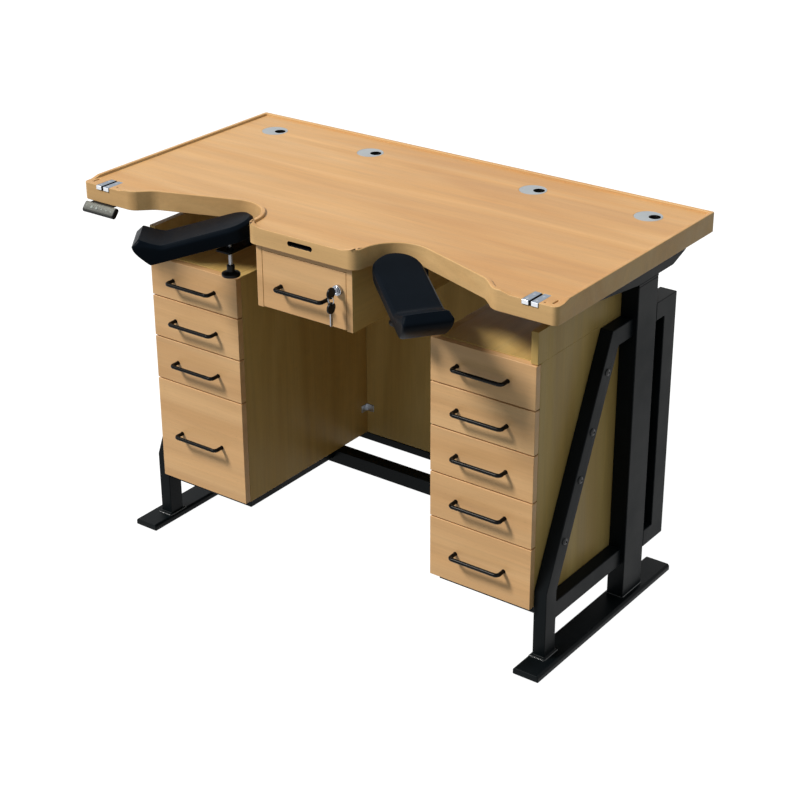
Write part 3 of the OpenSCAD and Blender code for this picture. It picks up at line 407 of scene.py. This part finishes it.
def bevelled(node, width, *materials, segments=2, angle=30, pick=None, weight=None, cuts=(),
             edge=-1):
    """The node's own shape with its arrises rounded, as a piece that stands for it.

    pick gives each face its material, weight gives each convex edge its share of the width, cuts
    are boxes taken out first, and edge is the material of the rounded arrises. Faces of more than
    four corners are cut up before the bevel, because a face with a slit round a hole folds there.
    Concave edges, which a weight leaves sharp, keep their crease in the shading too."""
    me = NODES[node].data.copy()
    me.materials.clear()
    bm = bmesh.new()
    bm.from_mesh(me)
    bmesh.ops.remove_doubles(bm, verts=bm.verts, dist=1e-6)
    bmesh.ops.dissolve_limit(bm, angle_limit=math.radians(0.6), verts=bm.verts, edges=bm.edges)
    bmesh.ops.recalc_face_normals(bm, faces=bm.faces)
    if cuts:
        bm.to_mesh(me)
        bm.free()
        bm = carved(me, cuts)
    if pick:
        for f in bm.faces:
            f.material_index = pick(f)
    for f in bm.faces:
        f.smooth = True
    bmesh.ops.triangulate(bm, faces=[f for f in bm.faces if len(f.verts) > 4],
                          ngon_method="BEAUTY")
    if weight:
        layer = bm.edges.layers.float.new("bevel_weight_edge")
        for e in bm.edges:
            if len(e.link_faces) == 2 and e.calc_face_angle(0) > math.radians(angle):
                if e.is_convex:
                    e[layer] = weight(e)
                else:
                    e.smooth = False
    bm.to_mesh(me)
    bm.free()
    tmp = placed("tmp", me)
    mod = tmp.modifiers.new("bevel", "BEVEL")
    mod.width = width
    mod.segments = segments
    mod.limit_method = "WEIGHT" if weight else "ANGLE"
    mod.angle_limit = math.radians(angle)
    mod.use_clamp_overlap = False
    mod.material = edge
    mod.miter_outer = "MITER_ARC"
    mod.loop_slide = False
    even = tmp.modifiers.new("even", "WEIGHTED_NORMAL")
    even.weight = 100
    even.keep_sharp = True
    ob = link(node + "_finish", evaluated(tmp), BODY_OF[node], SLOT_OF[node], *materials)
    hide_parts(node)


def mesh_from(bm, name, smooth=30):
    """The bmesh as a mesh, smooth across edges flatter than an angle."""
    me = bpy.data.meshes.new(name)
    bmesh.ops.recalc_face_normals(bm, faces=bm.faces)
    for f in bm.faces:
        f.smooth = True
    for e in bm.edges:
        if len(e.link_faces) == 2 and e.calc_face_angle(0) > math.radians(smooth):
            e.smooth = False
    bm.to_mesh(me)
    bm.free()
    return me


UPRIGHT = (0, 0, 1)


def lathe(bm, profile, at, axis=UPRIGHT, steps=48, hex_to=0.0, material=0):
    """Turns (radius, height) pairs round an axis through a point.

    Rings up to the radius hex_to are six-sided."""
    q = Vector(UPRIGHT).rotation_difference(Vector(axis).normalized())
    rings = []
    for r, h in profile:
        if r < 1e-9:
            rings.append([bm.verts.new(Vector(at) + q @ Vector((0, 0, h)))])
            continue
        ring = []
        for i in range(steps):
            a = 2 * math.pi * i / steps
            rr = r
            if r <= hex_to:
                rr = r * math.cos(math.pi / 6) / math.cos((a % (math.pi / 3)) - math.pi / 6)
            p = Vector((rr * math.cos(a), rr * math.sin(a), h))
            ring.append(bm.verts.new(Vector(at) + q @ p))
        rings.append(ring)
    for a, b in zip(rings, rings[1:]):
        if len(a) == 1 and len(b) == 1:
            continue
        for i in range(steps):
            j = (i + 1) % steps
            if len(a) == 1:
                f = bm.faces.new((a[0], b[i], b[j]))
            elif len(b) == 1:
                f = bm.faces.new((a[i], a[j], b[0]))
            else:
                f = bm.faces.new((a[i], a[j], b[j], b[i]))
            f.material_index = material


def skin(bm, rings):
    """Faces between rings of as many points, with closed ends."""
    for a, b in zip(rings, rings[1:]):
        for i in range(len(a)):
            j = (i + 1) % len(a)
            bm.faces.new((a[i], a[j], b[j], b[i]))
    bm.faces.new(rings[0][::-1])
    bm.faces.new(rings[-1])


def sweep(bm, path, radius, steps):
    """A round bar along a path of points, with closed ends."""
    pts = [Vector(p) for p in path]
    n = len(pts)
    tang = [(pts[min(i + 1, n - 1)] - pts[max(i - 1, 0)]).normalized() for i in range(n)]
    side = tang[0].orthogonal().normalized()
    rings = []
    for i in range(n):
        side = (side - tang[i] * side.dot(tang[i])).normalized()
        other = tang[i].cross(side)
        rings.append([bm.verts.new(pts[i] + radius * (math.cos(t) * side + math.sin(t) * other))
                      for t in (2 * math.pi * k / steps for k in range(steps))])
    skin(bm, rings)


def mid(node):
    lo, hi = box(node)
    return (lo + hi) / 2


def near_axis(f, x, y, r):
    """True for a face within a radius of an upright axis."""
    c = f.calc_center_median()
    return (c.x - x) ** 2 + (c.y - y) ** 2 < r * r


# Boards
UNDER = box("tabletop")[0].z
SLOT_HALF, SLOT_DEPTH, SLOT_LOW, SLOT_HIGH = 31.5 * MM, 61 * MM, 16 * MM, 28 * MM
RIM_END_IN, RIM_END_OUT, RIM_END_DEPTH, RIM_H = 112 * MM, 136 * MM, 16 * MM, 6 * MM
RIM_END = 0.25
BOARD_EDGE = 0.55


def top_pick(f):
    """0 the flat faces, 1 the edges, 2 the inside of the slot in the front edge, painted black as
    its shade.
    """
    c = f.calc_center_median()
    if (abs(c.x) < SLOT_HALF and FRONT + 1 * MM < c.y < FRONT + SLOT_DEPTH
            and SLOT_LOW < c.z - UNDER < SLOT_HIGH):
        return 2
    return 1 if abs(f.normal.z) < 0.5 else 0


def rim_weight(e):
    """The raised edge is rounded most, the board's other edges less, the raised edge's ends at the
    tongue's corners least."""
    c = (e.verts[0].co + e.verts[1].co) / 2
    if (RIM_END_IN < abs(c.x) < RIM_END_OUT and c.y < FRONT + RIM_END_DEPTH
            and c.z > TOP - RIM_H):
        return RIM_END
    return 1.0 if min(v.co.z for v in e.verts) > TOP - 0.5 * MM else BOARD_EDGE


bevelled("tabletop", 2.0 * MM, wood_top, wood_edge, recess_shade_black, segments=3, pick=top_pick,
         weight=rim_weight)
case_front = box("centre_case")[0].y
bevelled("centre_case", 0.8 * MM, wood_case, wood_fronts[0],
         pick=lambda f: 1 if f.calc_center_median().y < case_front + 1 * MM else 0)
bevelled("pedestal_sides", 0.8 * MM, wood_side)
bevelled("pedestal_boards", 0.6 * MM, wood_inner, wood_panel,
         pick=lambda f: 1 if abs(f.normal.y) > 0.5 else 0)
bevelled("side_upstands", 0.8 * MM, wood_side)
bevelled("back_panel", 0.8 * MM, wood_panel)

FRONT_BOARD = 16.05 * MM
drawers = sorted(n for n in NODES if re.fullmatch(r"(left|right)_drawer_\d|centre_drawer", n))
for i, n in enumerate(drawers):
    back = box(n)[0].y + FRONT_BOARD
    bevelled(n, 0.9 * MM, wood_fronts[(i * 2) % len(wood_fronts)], ply,
             pick=lambda f: 0 if f.calc_center_median().y < back else 1)

# Steel
# The foot bars' rounded arrises take the lighter black, a painted glint along them.
bevelled("foot_bars", 1.8 * MM, black_steel, glint_edge_black, edge=1)
for n, w in (("outer_column_left", 2.0), ("outer_column_right", 2.0),
             ("side_frame_left", 1.8), ("side_frame_right", 1.8), ("cross_rails", 1.6),
             ("pedestal_bases", 1.2), ("table_arms", 1.2), ("cross_beam", 1.6),
             ("armrest_brackets", 0.8), ("lift_motors", 1.0)):
    bevelled(n, w * MM, black_steel)
column_top = box("outer_column_left")[1].z
bevelled("inner_columns", 0.8 * MM, zinc, black_steel,
         pick=lambda f: 1 if f.calc_center_median().z > column_top - 1 * MM else 0)
bevelled("panel_brackets", 0.4 * MM, zinc)
bevelled("control_box", 1.6 * MM, black_plastic)
bevelled("foot_pads", 0.8 * MM, rubber)

for n in ("drawer_runners", "centre_runners", "drive_screw_left", "drive_screw_right",
          "armrest_bush_left", "armrest_bush_right"):
    NODES[n].data.materials.clear()
    NODES[n].data.materials.append(zinc)

for n in NODES:
    if re.fullmatch(r"(left|right)_handle_\d|centre_handle", n):
        bevelled(n, 0.35 * MM, black_bar, angle=50)


def islands(node):
    """The boxes of a node's loose solids, in the order of their first vertices."""
    bm = bmesh.new()
    bm.from_mesh(NODES[node].data)
    bmesh.ops.remove_doubles(bm, verts=bm.verts, dist=1e-6)
    seen, found = set(), []
    for first in bm.verts:
        if first in seen:
            continue
        seen.add(first)
        todo, part = [first], [first]
        while todo:
            for e in todo.pop().link_edges:
                for v in e.verts:
                    if v not in seen:
                        seen.add(v)
                        todo.append(v)
                        part.append(v)
        sides = list(zip(*(v.co for v in part)))
        found.append((Vector([min(c) for c in sides]), Vector([max(c) for c in sides])))
    bm.free()
    return found


BEAD_STEP = 3.0 * MM
BEAD_SIDES = 10


def round_bead(bm, lo, hi, z, r):
    """A weld bead round the foot of an upright: a wavy fillet along its four sides."""
    c = [(lo[0], lo[1]), (hi[0], lo[1]), (hi[0], hi[1]), (lo[0], hi[1])]
    for k in range(4):
        a, b = Vector((*c[k], z)), Vector((*c[(k + 1) % 4], z))
        n = max(4, int((b - a).length / BEAD_STEP))
        ripple = [a.lerp(b, i / (n * 3)) for i in range(n * 3 + 1)]
        before = len(bm.verts)
        sweep(bm, ripple, r, BEAD_SIDES)
        bm.verts.ensure_lookup_table()
        for i, v in enumerate(list(bm.verts)[before:]):
            ring = i // BEAD_SIDES
            p = ripple[ring]
            v.co = p + (v.co - p) * (0.86 + 0.14 * math.cos(ring * 2 * math.pi / 3))


def foot_of(node, z_to):
    """The footprint of the upright that stands lowest in a node."""
    vs = [v.co for v in NODES[node].data.vertices if v.co.z < z_to]
    return ((min(v.x for v in vs), min(v.y for v in vs)),
            (max(v.x for v in vs), max(v.y for v in vs)))


for side in ("left", "right"):
    bm = bmesh.new()
    z = box("foot_bars")[1].z
    for node in ("outer_column_", "side_frame_"):
        low = box(node + side)[0].z
        if low < z + 1 * MM:
            round_bead(bm, *foot_of(node + side, low + 1 * MM), z, 1.9 * MM)
    # The beads take the lighter black, a painted glint on the welds.
    link("weld_beads_" + side, mesh_from(bm, "weld_beads_" + side, 60),
         BODY_OF["outer_column_" + side], "black_steel", glint_edge_black)

# Round-headed bolts with hexagon sockets
BOLT_HEAD_H = 4 * MM
SOCKET_R = 3.0 * MM
bm = bmesh.new()
for lo, hi in islands("post_bolts"):
    c = (lo + hi) / 2
    sign = 1 if c.x > 0 else -1
    root = (hi.x if sign > 0 else lo.x) - sign * BOLT_HEAD_H
    length = (hi.x - lo.x) - BOLT_HEAD_H
    shank = [(0, -length), (2.6 * MM, -length), (3 * MM, -length + 0.4 * MM), (3 * MM, 0)]
    head = [(r * MM, h * MM) for r, h in (
        (7.4, 0), (8, 0.4), (7.9, 1.1), (7.2, 2.3), (5.9, 3.3), (4.4, 3.85), (3.5, 4), (2.9, 3.8),
        (2.75, 1.4), (0, 1.2))]
    lathe(bm, shank + head, (root, c.y, c.z), (sign, 0, 0), 36, hex_to=SOCKET_R)
bolts = link("post_bolt_heads", mesh_from(bm, "post_bolt_heads", 35), BODY_OF["post_bolts"],
             SLOT_OF["post_bolts"], bolt_black)
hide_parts("post_bolts")

# Cable grommets, their off-centre barrels painted black inside as their shade
GROMMET_XS = (-0.496, -0.217, 0.217, 0.496)
GROMMET_Y = FRONT + 522 * MM
BARREL_SHIFT, BARREL_REACH = 13 * MM, 13.2 * MM


def grommet_pick(f):
    """1 the inside of a barrel, painted black as its shade, 0 the rest."""
    inside = any(near_axis(f, x + BARREL_SHIFT, GROMMET_Y, BARREL_REACH) for x in GROMMET_XS)
    return 1 if inside and abs(f.normal.z) < 0.5 else 0


bevelled("cable_grommets", 0.4 * MM, light_plastic, recess_shade_black, angle=50, pick=grommet_pick)

# Corner plates with their grooves and screws
plates = islands("corner_plates")
PLATE_TOP = max(hi.z for lo, hi in plates)
GROOVE_HALF, GROOVE_DEPTH, NOTCH_DEPTH = 2.8 * MM, 2.6 * MM, 1.2 * MM


def plate_pick(f):
    """0 the bars' tops, 1 the rolled front lip, 2 the groove between the bars, painted black as
    its shade.
    """
    c = f.calc_center_median()
    in_groove = any(abs(c.x - (lo.x + hi.x) / 2) < GROOVE_HALF + 0.4 * MM for lo, hi in plates)
    if in_groove and c.z < PLATE_TOP - 0.2 * MM:
        return 2
    return 1 if f.normal.y < -0.5 else 0


plate_cuts = []
for lo, hi in plates:
    x = (lo.x + hi.x) / 2
    x0, x1, over = x - GROOVE_HALF, x + GROOVE_HALF, 1 * MM
    plate_cuts.append(((x0, lo.y - over, hi.z - GROOVE_DEPTH), (x1, hi.y + over, hi.z + over)))
    plate_cuts.append(((x0, lo.y - over, lo.z - over), (x1, lo.y + NOTCH_DEPTH, hi.z - over)))
bevelled("corner_plates", 1.0 * MM, plate_top, aluminium, recess_shade_black, segments=3, pick=plate_pick,
         cuts=plate_cuts)
SCREW_XS, SCREW_YS = (-10.5 * MM, 10.5 * MM), (9 * MM, 33 * MM)
PLATE_SCREW = [(r * MM, h * MM) for r, h in (
    (0, 0.12), (1.0, 0.12), (1.1, 0.3), (2.3, 0.32), (2.6, 0.12), (2.6, -0.8), (0, -0.8))]
bm = bmesh.new()
for lo, hi in plates:
    c = (lo + hi) / 2
    for dx in SCREW_XS:
        for dy in SCREW_YS:
            lathe(bm, PLATE_SCREW, (c.x + dx, lo.y + dy, hi.z), steps=24, hex_to=1.1 * MM)
link("corner_plate_screws", mesh_from(bm, "corner_plate_screws"), "table", "aluminium", zinc)

# Lock, keys and their ring
lock = mid("drawer_lock")
lock_face = box("drawer_lock")[0].y
bevelled("drawer_lock", 1.2 * MM, chrome, angle=50, segments=3)
KEY_HEAD_R, KEY_HEAD_HALF, KEY_SHANK_L = 12 * MM, 2.1 * MM, 26 * MM
KEY_HEAD_FROM_LOCK = 4.6 * MM
RING_R, RING_WIRE_R = 7 * MM, 0.9 * MM
head_y = box("drawer_key")[0].y + KEY_HEAD_R


def key_pick(z0):
    """1 the plastic head round the height z0, 0 the metal."""
    def pick(f):
        c = f.calc_center_median()
        near = (c.y - head_y) ** 2 + (c.z - z0) ** 2 < (KEY_HEAD_R + 0.1 * MM) ** 2
        ahead = c.y < lock_face - KEY_HEAD_FROM_LOCK
        return 1 if near and ahead and abs(c.x - lock.x) < KEY_HEAD_HALF else 0
    return pick


bevelled("drawer_key", 0.7 * MM, chrome, knob_plastic, angle=50, segments=3, pick=key_pick(lock.z))
spare_lo, spare_hi = box("spare_key")
spare_z = spare_lo.z + KEY_SHANK_L + KEY_HEAD_R
ring_z = spare_hi.z - RING_WIRE_R - RING_R


def spare_pick(f):
    """0 the ring and the metal of the second key, 1 its head."""
    c = f.calc_center_median()
    off = abs(math.hypot(c.x - lock.x, c.z - ring_z) - RING_R)
    on_ring = off < 1.0 * MM and abs(c.y - head_y) < 1.0 * MM
    return 0 if on_ring else key_pick(spare_z)(f)


bevelled("spare_key", 0.25 * MM, chrome, knob_plastic, angle=50, pick=spare_pick)

# Hand control: slab, speckled label round its leaning face, rocker spots
bevelled("handset", 1.2 * MM, black_plastic, segments=3)
LEAN = math.radians(41)
out = Vector((0, -math.cos(LEAN), math.sin(LEAN)))
down = Vector((0, -math.sin(LEAN), -math.cos(LEAN)))
handset_x = box("handset")[0].x
LABEL_MARGIN, LABEL_END = 2.5 * MM, 87.5 * MM
LABEL_OUTER_R, LABEL_INNER_R = 6.25 * MM, 5.8 * MM
top_c = Vector((0, FRONT - 6.6 * MM, UNDER - 7.6 * MM))
low_c = top_c + down * 12.5 * MM


def label_profile(r):
    """The label's outline at a radius from the slab's two rounded ends, from top to bottom."""
    pts = []
    for d in range(60, 0, -10):
        a = math.radians(d)
        pts.append(top_c + r * (math.cos(a) * out - math.sin(a) * down))
    pts += [top_c + out * r, low_c + out * r]
    for d in range(10, 41, 10):
        a = math.radians(d)
        pts.append(low_c + r * (math.cos(a) * out + math.sin(a) * down))
    return pts


bm = bmesh.new()
x0, x1 = handset_x + LABEL_MARGIN, handset_x + LABEL_END
outer, inner = label_profile(LABEL_OUTER_R), label_profile(LABEL_INNER_R)
rows = [[bm.verts.new((x, p.y, p.z)) for p in outer + inner[::-1]] for x in (x0, x1)]
n = len(rows[0])
for i in range(n):
    j = (i + 1) % n
    bm.faces.new((rows[0][i], rows[0][j], rows[1][j], rows[1][i]))
bm.faces.new(rows[0][::-1])
bm.faces.new(rows[1])
link("handset_label", mesh_from(bm, "handset_label", 40), "table", "grey_plastic", label_grey)
bm = bmesh.new()
at = (top_c + low_c) / 2 + out * 6.15 * MM
for x in (52, 66, 80):
    lathe(bm, [(0, 0.55 * MM), (1.6 * MM, 0.5 * MM), (2.1 * MM, 0.25 * MM), (2.2 * MM, 0), (0, 0)],
          (handset_x + x * MM, at.y, at.z), out, 28)
link("handset_spots", mesh_from(bm, "handset_spots"), "table", "grey_plastic", button_grey)
bevelled("handset_up_button", 0.4 * MM, button_grey, angle=50)
bevelled("handset_down_button", 0.4 * MM, button_grey, angle=50)

# Height screws: threaded rod and mushroom knob
PITCH, THREAD_R, THREAD_DEPTH = 1.25 * MM, 4 * MM, 0.55 * MM
RINGS_A_TURN, ROD_SIDES = 5, 20
ROD_FROM = 23 * MM
KNOB = [(r * MM, h * MM) for r, h in (
    (0, 0.6), (10, 0.6), (11, 0), (17.6, 0), (19.2, 0.7), (20, 2.2), (20, 5.4), (19.5, 6.6),
    (18, 7.7), (13, 9.7), (9.7, 11.2), (8.8, 12.2), (8.5, 13.6), (8.5, 23.4), (8.1, 24.5),
    (7.0, 25), (0, 25))]


def threaded_rod(bm, x, y, z0, z1):
    """An upright rod with one thread, closed at both ends."""
    count = int((z1 - z0) / PITCH * RINGS_A_TURN)
    rings = []
    for i in range(count + 1):
        h = z0 + (z1 - z0) * i / count
        ring = []
        for s in range(ROD_SIDES):
            t = (h / PITCH + s / ROD_SIDES) % 1
            r = THREAD_R - THREAD_DEPTH * (1 - abs(2 * t - 1))
            a = 2 * math.pi * s / ROD_SIDES
            ring.append(bm.verts.new((x + r * math.cos(a), y + r * math.sin(a), h)))
        rings.append(ring)
    skin(bm, rings)


for side in ("left", "right"):
    node = "armrest_screw_" + side
    lo, hi = box(node)
    c = (lo + hi) / 2
    bm = bmesh.new()
    threaded_rod(bm, c.x, c.y, lo.z + ROD_FROM, hi.z)
    lathe(bm, KNOB, (c.x, c.y, lo.z), steps=64, material=1)
    ob = link(node + "_detail", mesh_from(bm, node + "_detail", 55), BODY_OF[node],
              SLOT_OF[node], zinc, knob_plastic)
    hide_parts(node)


# Armrest pads: a moulded skin with chamfered edges, a ramp and a bevelled nose. The pad's cage is
# in millimetres: u runs from the swivel to the nose, l across, w up from the flat of the top.
SWIVEL_X, SWIVEL_Y = 0.218, FRONT + 36 * MM
PAD_TOP_Z = 0.8385
PAD_TURN, PAD_TILT = math.radians(-37), math.radians(15)
RAMP_U, CREST_U, NOSE_L = 139, 182.5, 18.5
CREST_H, NOSE_DROP = 25.0, 11.0
SIDE_US = (20, 45, 70, 95, 115, 128, 136, 142, 148, 155, 163)
TIP_STEPS, CORNER_STEPS, ACROSS = 8, 4, 10
N_SIDE = TIP_STEPS + 1 + len(SIDE_US) + CORNER_STEPS + 1
HUB = [(r * MM, h * MM) for r, h in (
    (8.1, 14), (8.1, 0.4), (8.6, 0), (14.2, 0), (14.8, 0.4), (15, 1.2), (15, 8.6), (16.2, 10.4),
    (19, 12), (19, 14), (8.1, 14))]


def pad_top(u):
    """The height of the top: flat, then a ramp up to the crest, then down to the nose."""
    if u < RAMP_U:
        return 0.0
    if u <= CREST_U:
        t = (u - RAMP_U) / (CREST_U - RAMP_U)
        return CREST_H * t ** 1.3
    return CREST_H - NOSE_DROP * (u - CREST_U) / NOSE_L


def pad_shoulder(u):
    """The height at which the chamfer of the top ends."""
    return pad_top(u) - 7.4 if u < CREST_U else 17.6 - 3.9 * (u - CREST_U) / NOSE_L


def pad_waist(u):
    """The lower height of the sides, which rises under the nose."""
    return -17.0 + 16.0 * min(1.0, max(0.0, (u - 120) / 75)) ** 2


def pad_layer(half, nose, corner, height):
    """Outline from the inner tip round one side to the nose; height is a function of u."""
    pts = [(-half * math.cos(a), half * math.sin(a))
           for a in (math.pi / 2 * k / TIP_STEPS for k in range(TIP_STEPS + 1))]
    pts += [(u, half) for u in SIDE_US]
    pts += [(nose - corner * (1 - math.sin(a)), half - corner * (1 - math.cos(a)))
            for a in (math.pi / 2 * k / CORNER_STEPS for k in range(CORNER_STEPS + 1))]
    edge = half - corner
    pts += [(nose, edge * (1 - 2 * k / ACROSS)) for k in range(1, ACROSS)]
    return [(u, l, height(u)) for u, l in pts]


def pad_cap(bm, loop, crown, flip):
    """Strips across between the two sides, the last one along the nose."""
    n = len(loop)
    tip = loop[0]
    prev = None
    for k in range(1, N_SIDE):
        r, l = loop[k], loop[n - k]
        if k == N_SIDE - 1:
            row = [loop[N_SIDE - 1 + i] for i in range(ACROSS + 1)]
        else:
            row = [r]
            for i in range(1, ACROSS):
                t = i / ACROSS
                p = r.co.lerp(l.co, t)
                p.z += crown * (1 - (2 * t - 1) ** 2) * min(1, abs(r.co.y) / 40)
                row.append(bm.verts.new(p))
            row.append(l)
        for i in range(ACROSS):
            if prev is None:
                f = (tip, row[i], row[i + 1])
            else:
                f = (prev[i], row[i], row[i + 1], prev[i + 1])
            bm.faces.new(f[::-1] if flip else f)
        prev = row


def armrest_pad(side, sign):
    """The pad with its hub. It is built for the right side and mirrored for the left."""
    layers = [
        pad_layer(47.0, 178, 8, lambda u: -35.0),
        pad_layer(48.6, 180, 9, lambda u: -33.2),
        pad_layer(50.6, 201, 6, pad_waist),
        pad_layer(51.0, 201, 6, pad_shoulder),
        pad_layer(45.2, CREST_U, 6, lambda u: pad_top(u) - 0.2),
    ]
    bm = bmesh.new()
    crease = bm.edges.layers.float.new("crease_edge")
    loops = []
    for pts in layers:
        right = [bm.verts.new(p) for p in pts]
        left = [bm.verts.new((u, -l, w)) for u, l, w in pts[1:N_SIDE]]
        loops.append(right + left[::-1])
    for a, b in zip(loops, loops[1:]):
        for i in range(len(a)):
            j = (i + 1) % len(a)
            bm.faces.new((a[i], a[j], b[j], b[i]))
    pad_cap(bm, loops[-1], 0.9, False)
    pad_cap(bm, loops[0], 0.0, True)
    for loop, value in ((loops[0], 0.6), (loops[3], 0.62), (loops[4], 0.68)):
        for i in range(len(loop)):
            e = bm.edges.get((loop[i], loop[(i + 1) % len(loop)]))
            e[crease] = value
    bmesh.ops.scale(bm, vec=(MM, MM, MM), verts=bm.verts)
    bmesh.ops.recalc_face_normals(bm, faces=bm.faces)
    for f in bm.faces:
        f.smooth = True
    me = bpy.data.meshes.new("pad_cage")
    bm.to_mesh(me)
    bm.free()
    tmp = placed("tmp", me)
    tmp.modifiers.new("sub", "SUBSURF").levels = 2
    out_me = evaluated(tmp)
    place = Matrix.Translation((SWIVEL_X, SWIVEL_Y, PAD_TOP_Z))
    out_me.transform(place @ Matrix.Rotation(PAD_TURN, 4, "Z") @ Matrix.Rotation(PAD_TILT, 4, "Y"))
    bm = bmesh.new()
    bm.from_mesh(out_me)
    hub_z = box("armrest_bush_" + side)[0].z + 2 * MM
    lathe(bm, HUB, (SWIVEL_X, SWIVEL_Y, hub_z))
    if sign < 0:
        bmesh.ops.scale(bm, vec=(-1, 1, 1), verts=bm.verts)
    bmesh.ops.recalc_face_normals(bm, faces=bm.faces)
    for f in bm.faces:
        f.smooth = True
    bm.to_mesh(out_me)
    bm.free()
    ob = link("armrest_pad_" + side, out_me, BODY_OF["armrest_" + side], "pad_foam", pad_black)
    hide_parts("armrest_" + side)


armrest_pad("left", -1)
armrest_pad("right", 1)

# ---------------------------------------------------------------- stage and light
bm = bmesh.new()
bmesh.ops.create_grid(bm, x_segments=1, y_segments=1, size=14)
me = bpy.data.meshes.new("floor")
bm.to_mesh(me)
bm.free()
floor = placed("floor", me)
floor_mat = Mat("floor_white", rough=0.9, spec=0.1)
ft = floor_mat.t
floor_mat.b.inputs["Base Color"].default_value = (0.12, 0.12, 0.12, 1)
glow = ft.nodes.new("ShaderNodeEmission")
glow.inputs["Color"].default_value = (1, 1, 1, 1)


def seen_rays(tree):
    """1 for the rays that see the background: camera, gloss and glass."""
    path = tree.nodes.new("ShaderNodeLightPath")
    total = path.outputs["Is Camera Ray"]
    for ray in ("Is Glossy Ray", "Is Transmission Ray"):
        both = tree.nodes.new("ShaderNodeMath")
        both.operation = "MAXIMUM"
        tree.links.new(total, both.inputs[0])
        tree.links.new(path.outputs[ray], both.inputs[1])
        total = both.outputs[0]
    return total


ft.links.new(seen_rays(ft), glow.inputs["Strength"])
add = ft.nodes.new("ShaderNodeAddShader")
ft.links.new(floor_mat.b.outputs[0], add.inputs[0])
ft.links.new(glow.outputs[0], add.inputs[1])
ft.links.new(add.outputs[0], ft.nodes["Material Output"].inputs["Surface"])
floor.data.materials.append(floor_mat.m)

world = bpy.data.worlds.new("world")
bpy.context.scene.world = world
world.use_nodes = True
wt = world.node_tree
bg = wt.nodes["Background"]
bg.inputs["Color"].default_value = (0.92, 1.06, 1.02, 1)
bg.inputs["Strength"].default_value = 0.28
white = wt.nodes.new("ShaderNodeBackground")
white.inputs["Color"].default_value = (1, 1, 1, 1)
white.inputs["Strength"].default_value = 1.0
wmix = wt.nodes.new("ShaderNodeMixShader")
wt.links.new(seen_rays(wt), wmix.inputs[0])
wt.links.new(bg.outputs[0], wmix.inputs[1])
wt.links.new(white.outputs[0], wmix.inputs[2])
wt.links.new(wmix.outputs[0], wt.nodes["World Output"].inputs["Surface"])

sun_data = bpy.data.lights.new("key", "SUN")
sun = bpy.data.objects.new("key", sun_data)
bpy.context.scene.collection.objects.link(sun)
sun.rotation_euler = Vector((0.435, 0.51, -0.742)).to_track_quat("-Z", "Y").to_euler()
sun_data.energy = 3.3
sun_data.angle = math.radians(14)
sun_data.color = (1.0, 0.97, 0.92)

bpy.context.scene.view_settings.view_transform = "Standard"
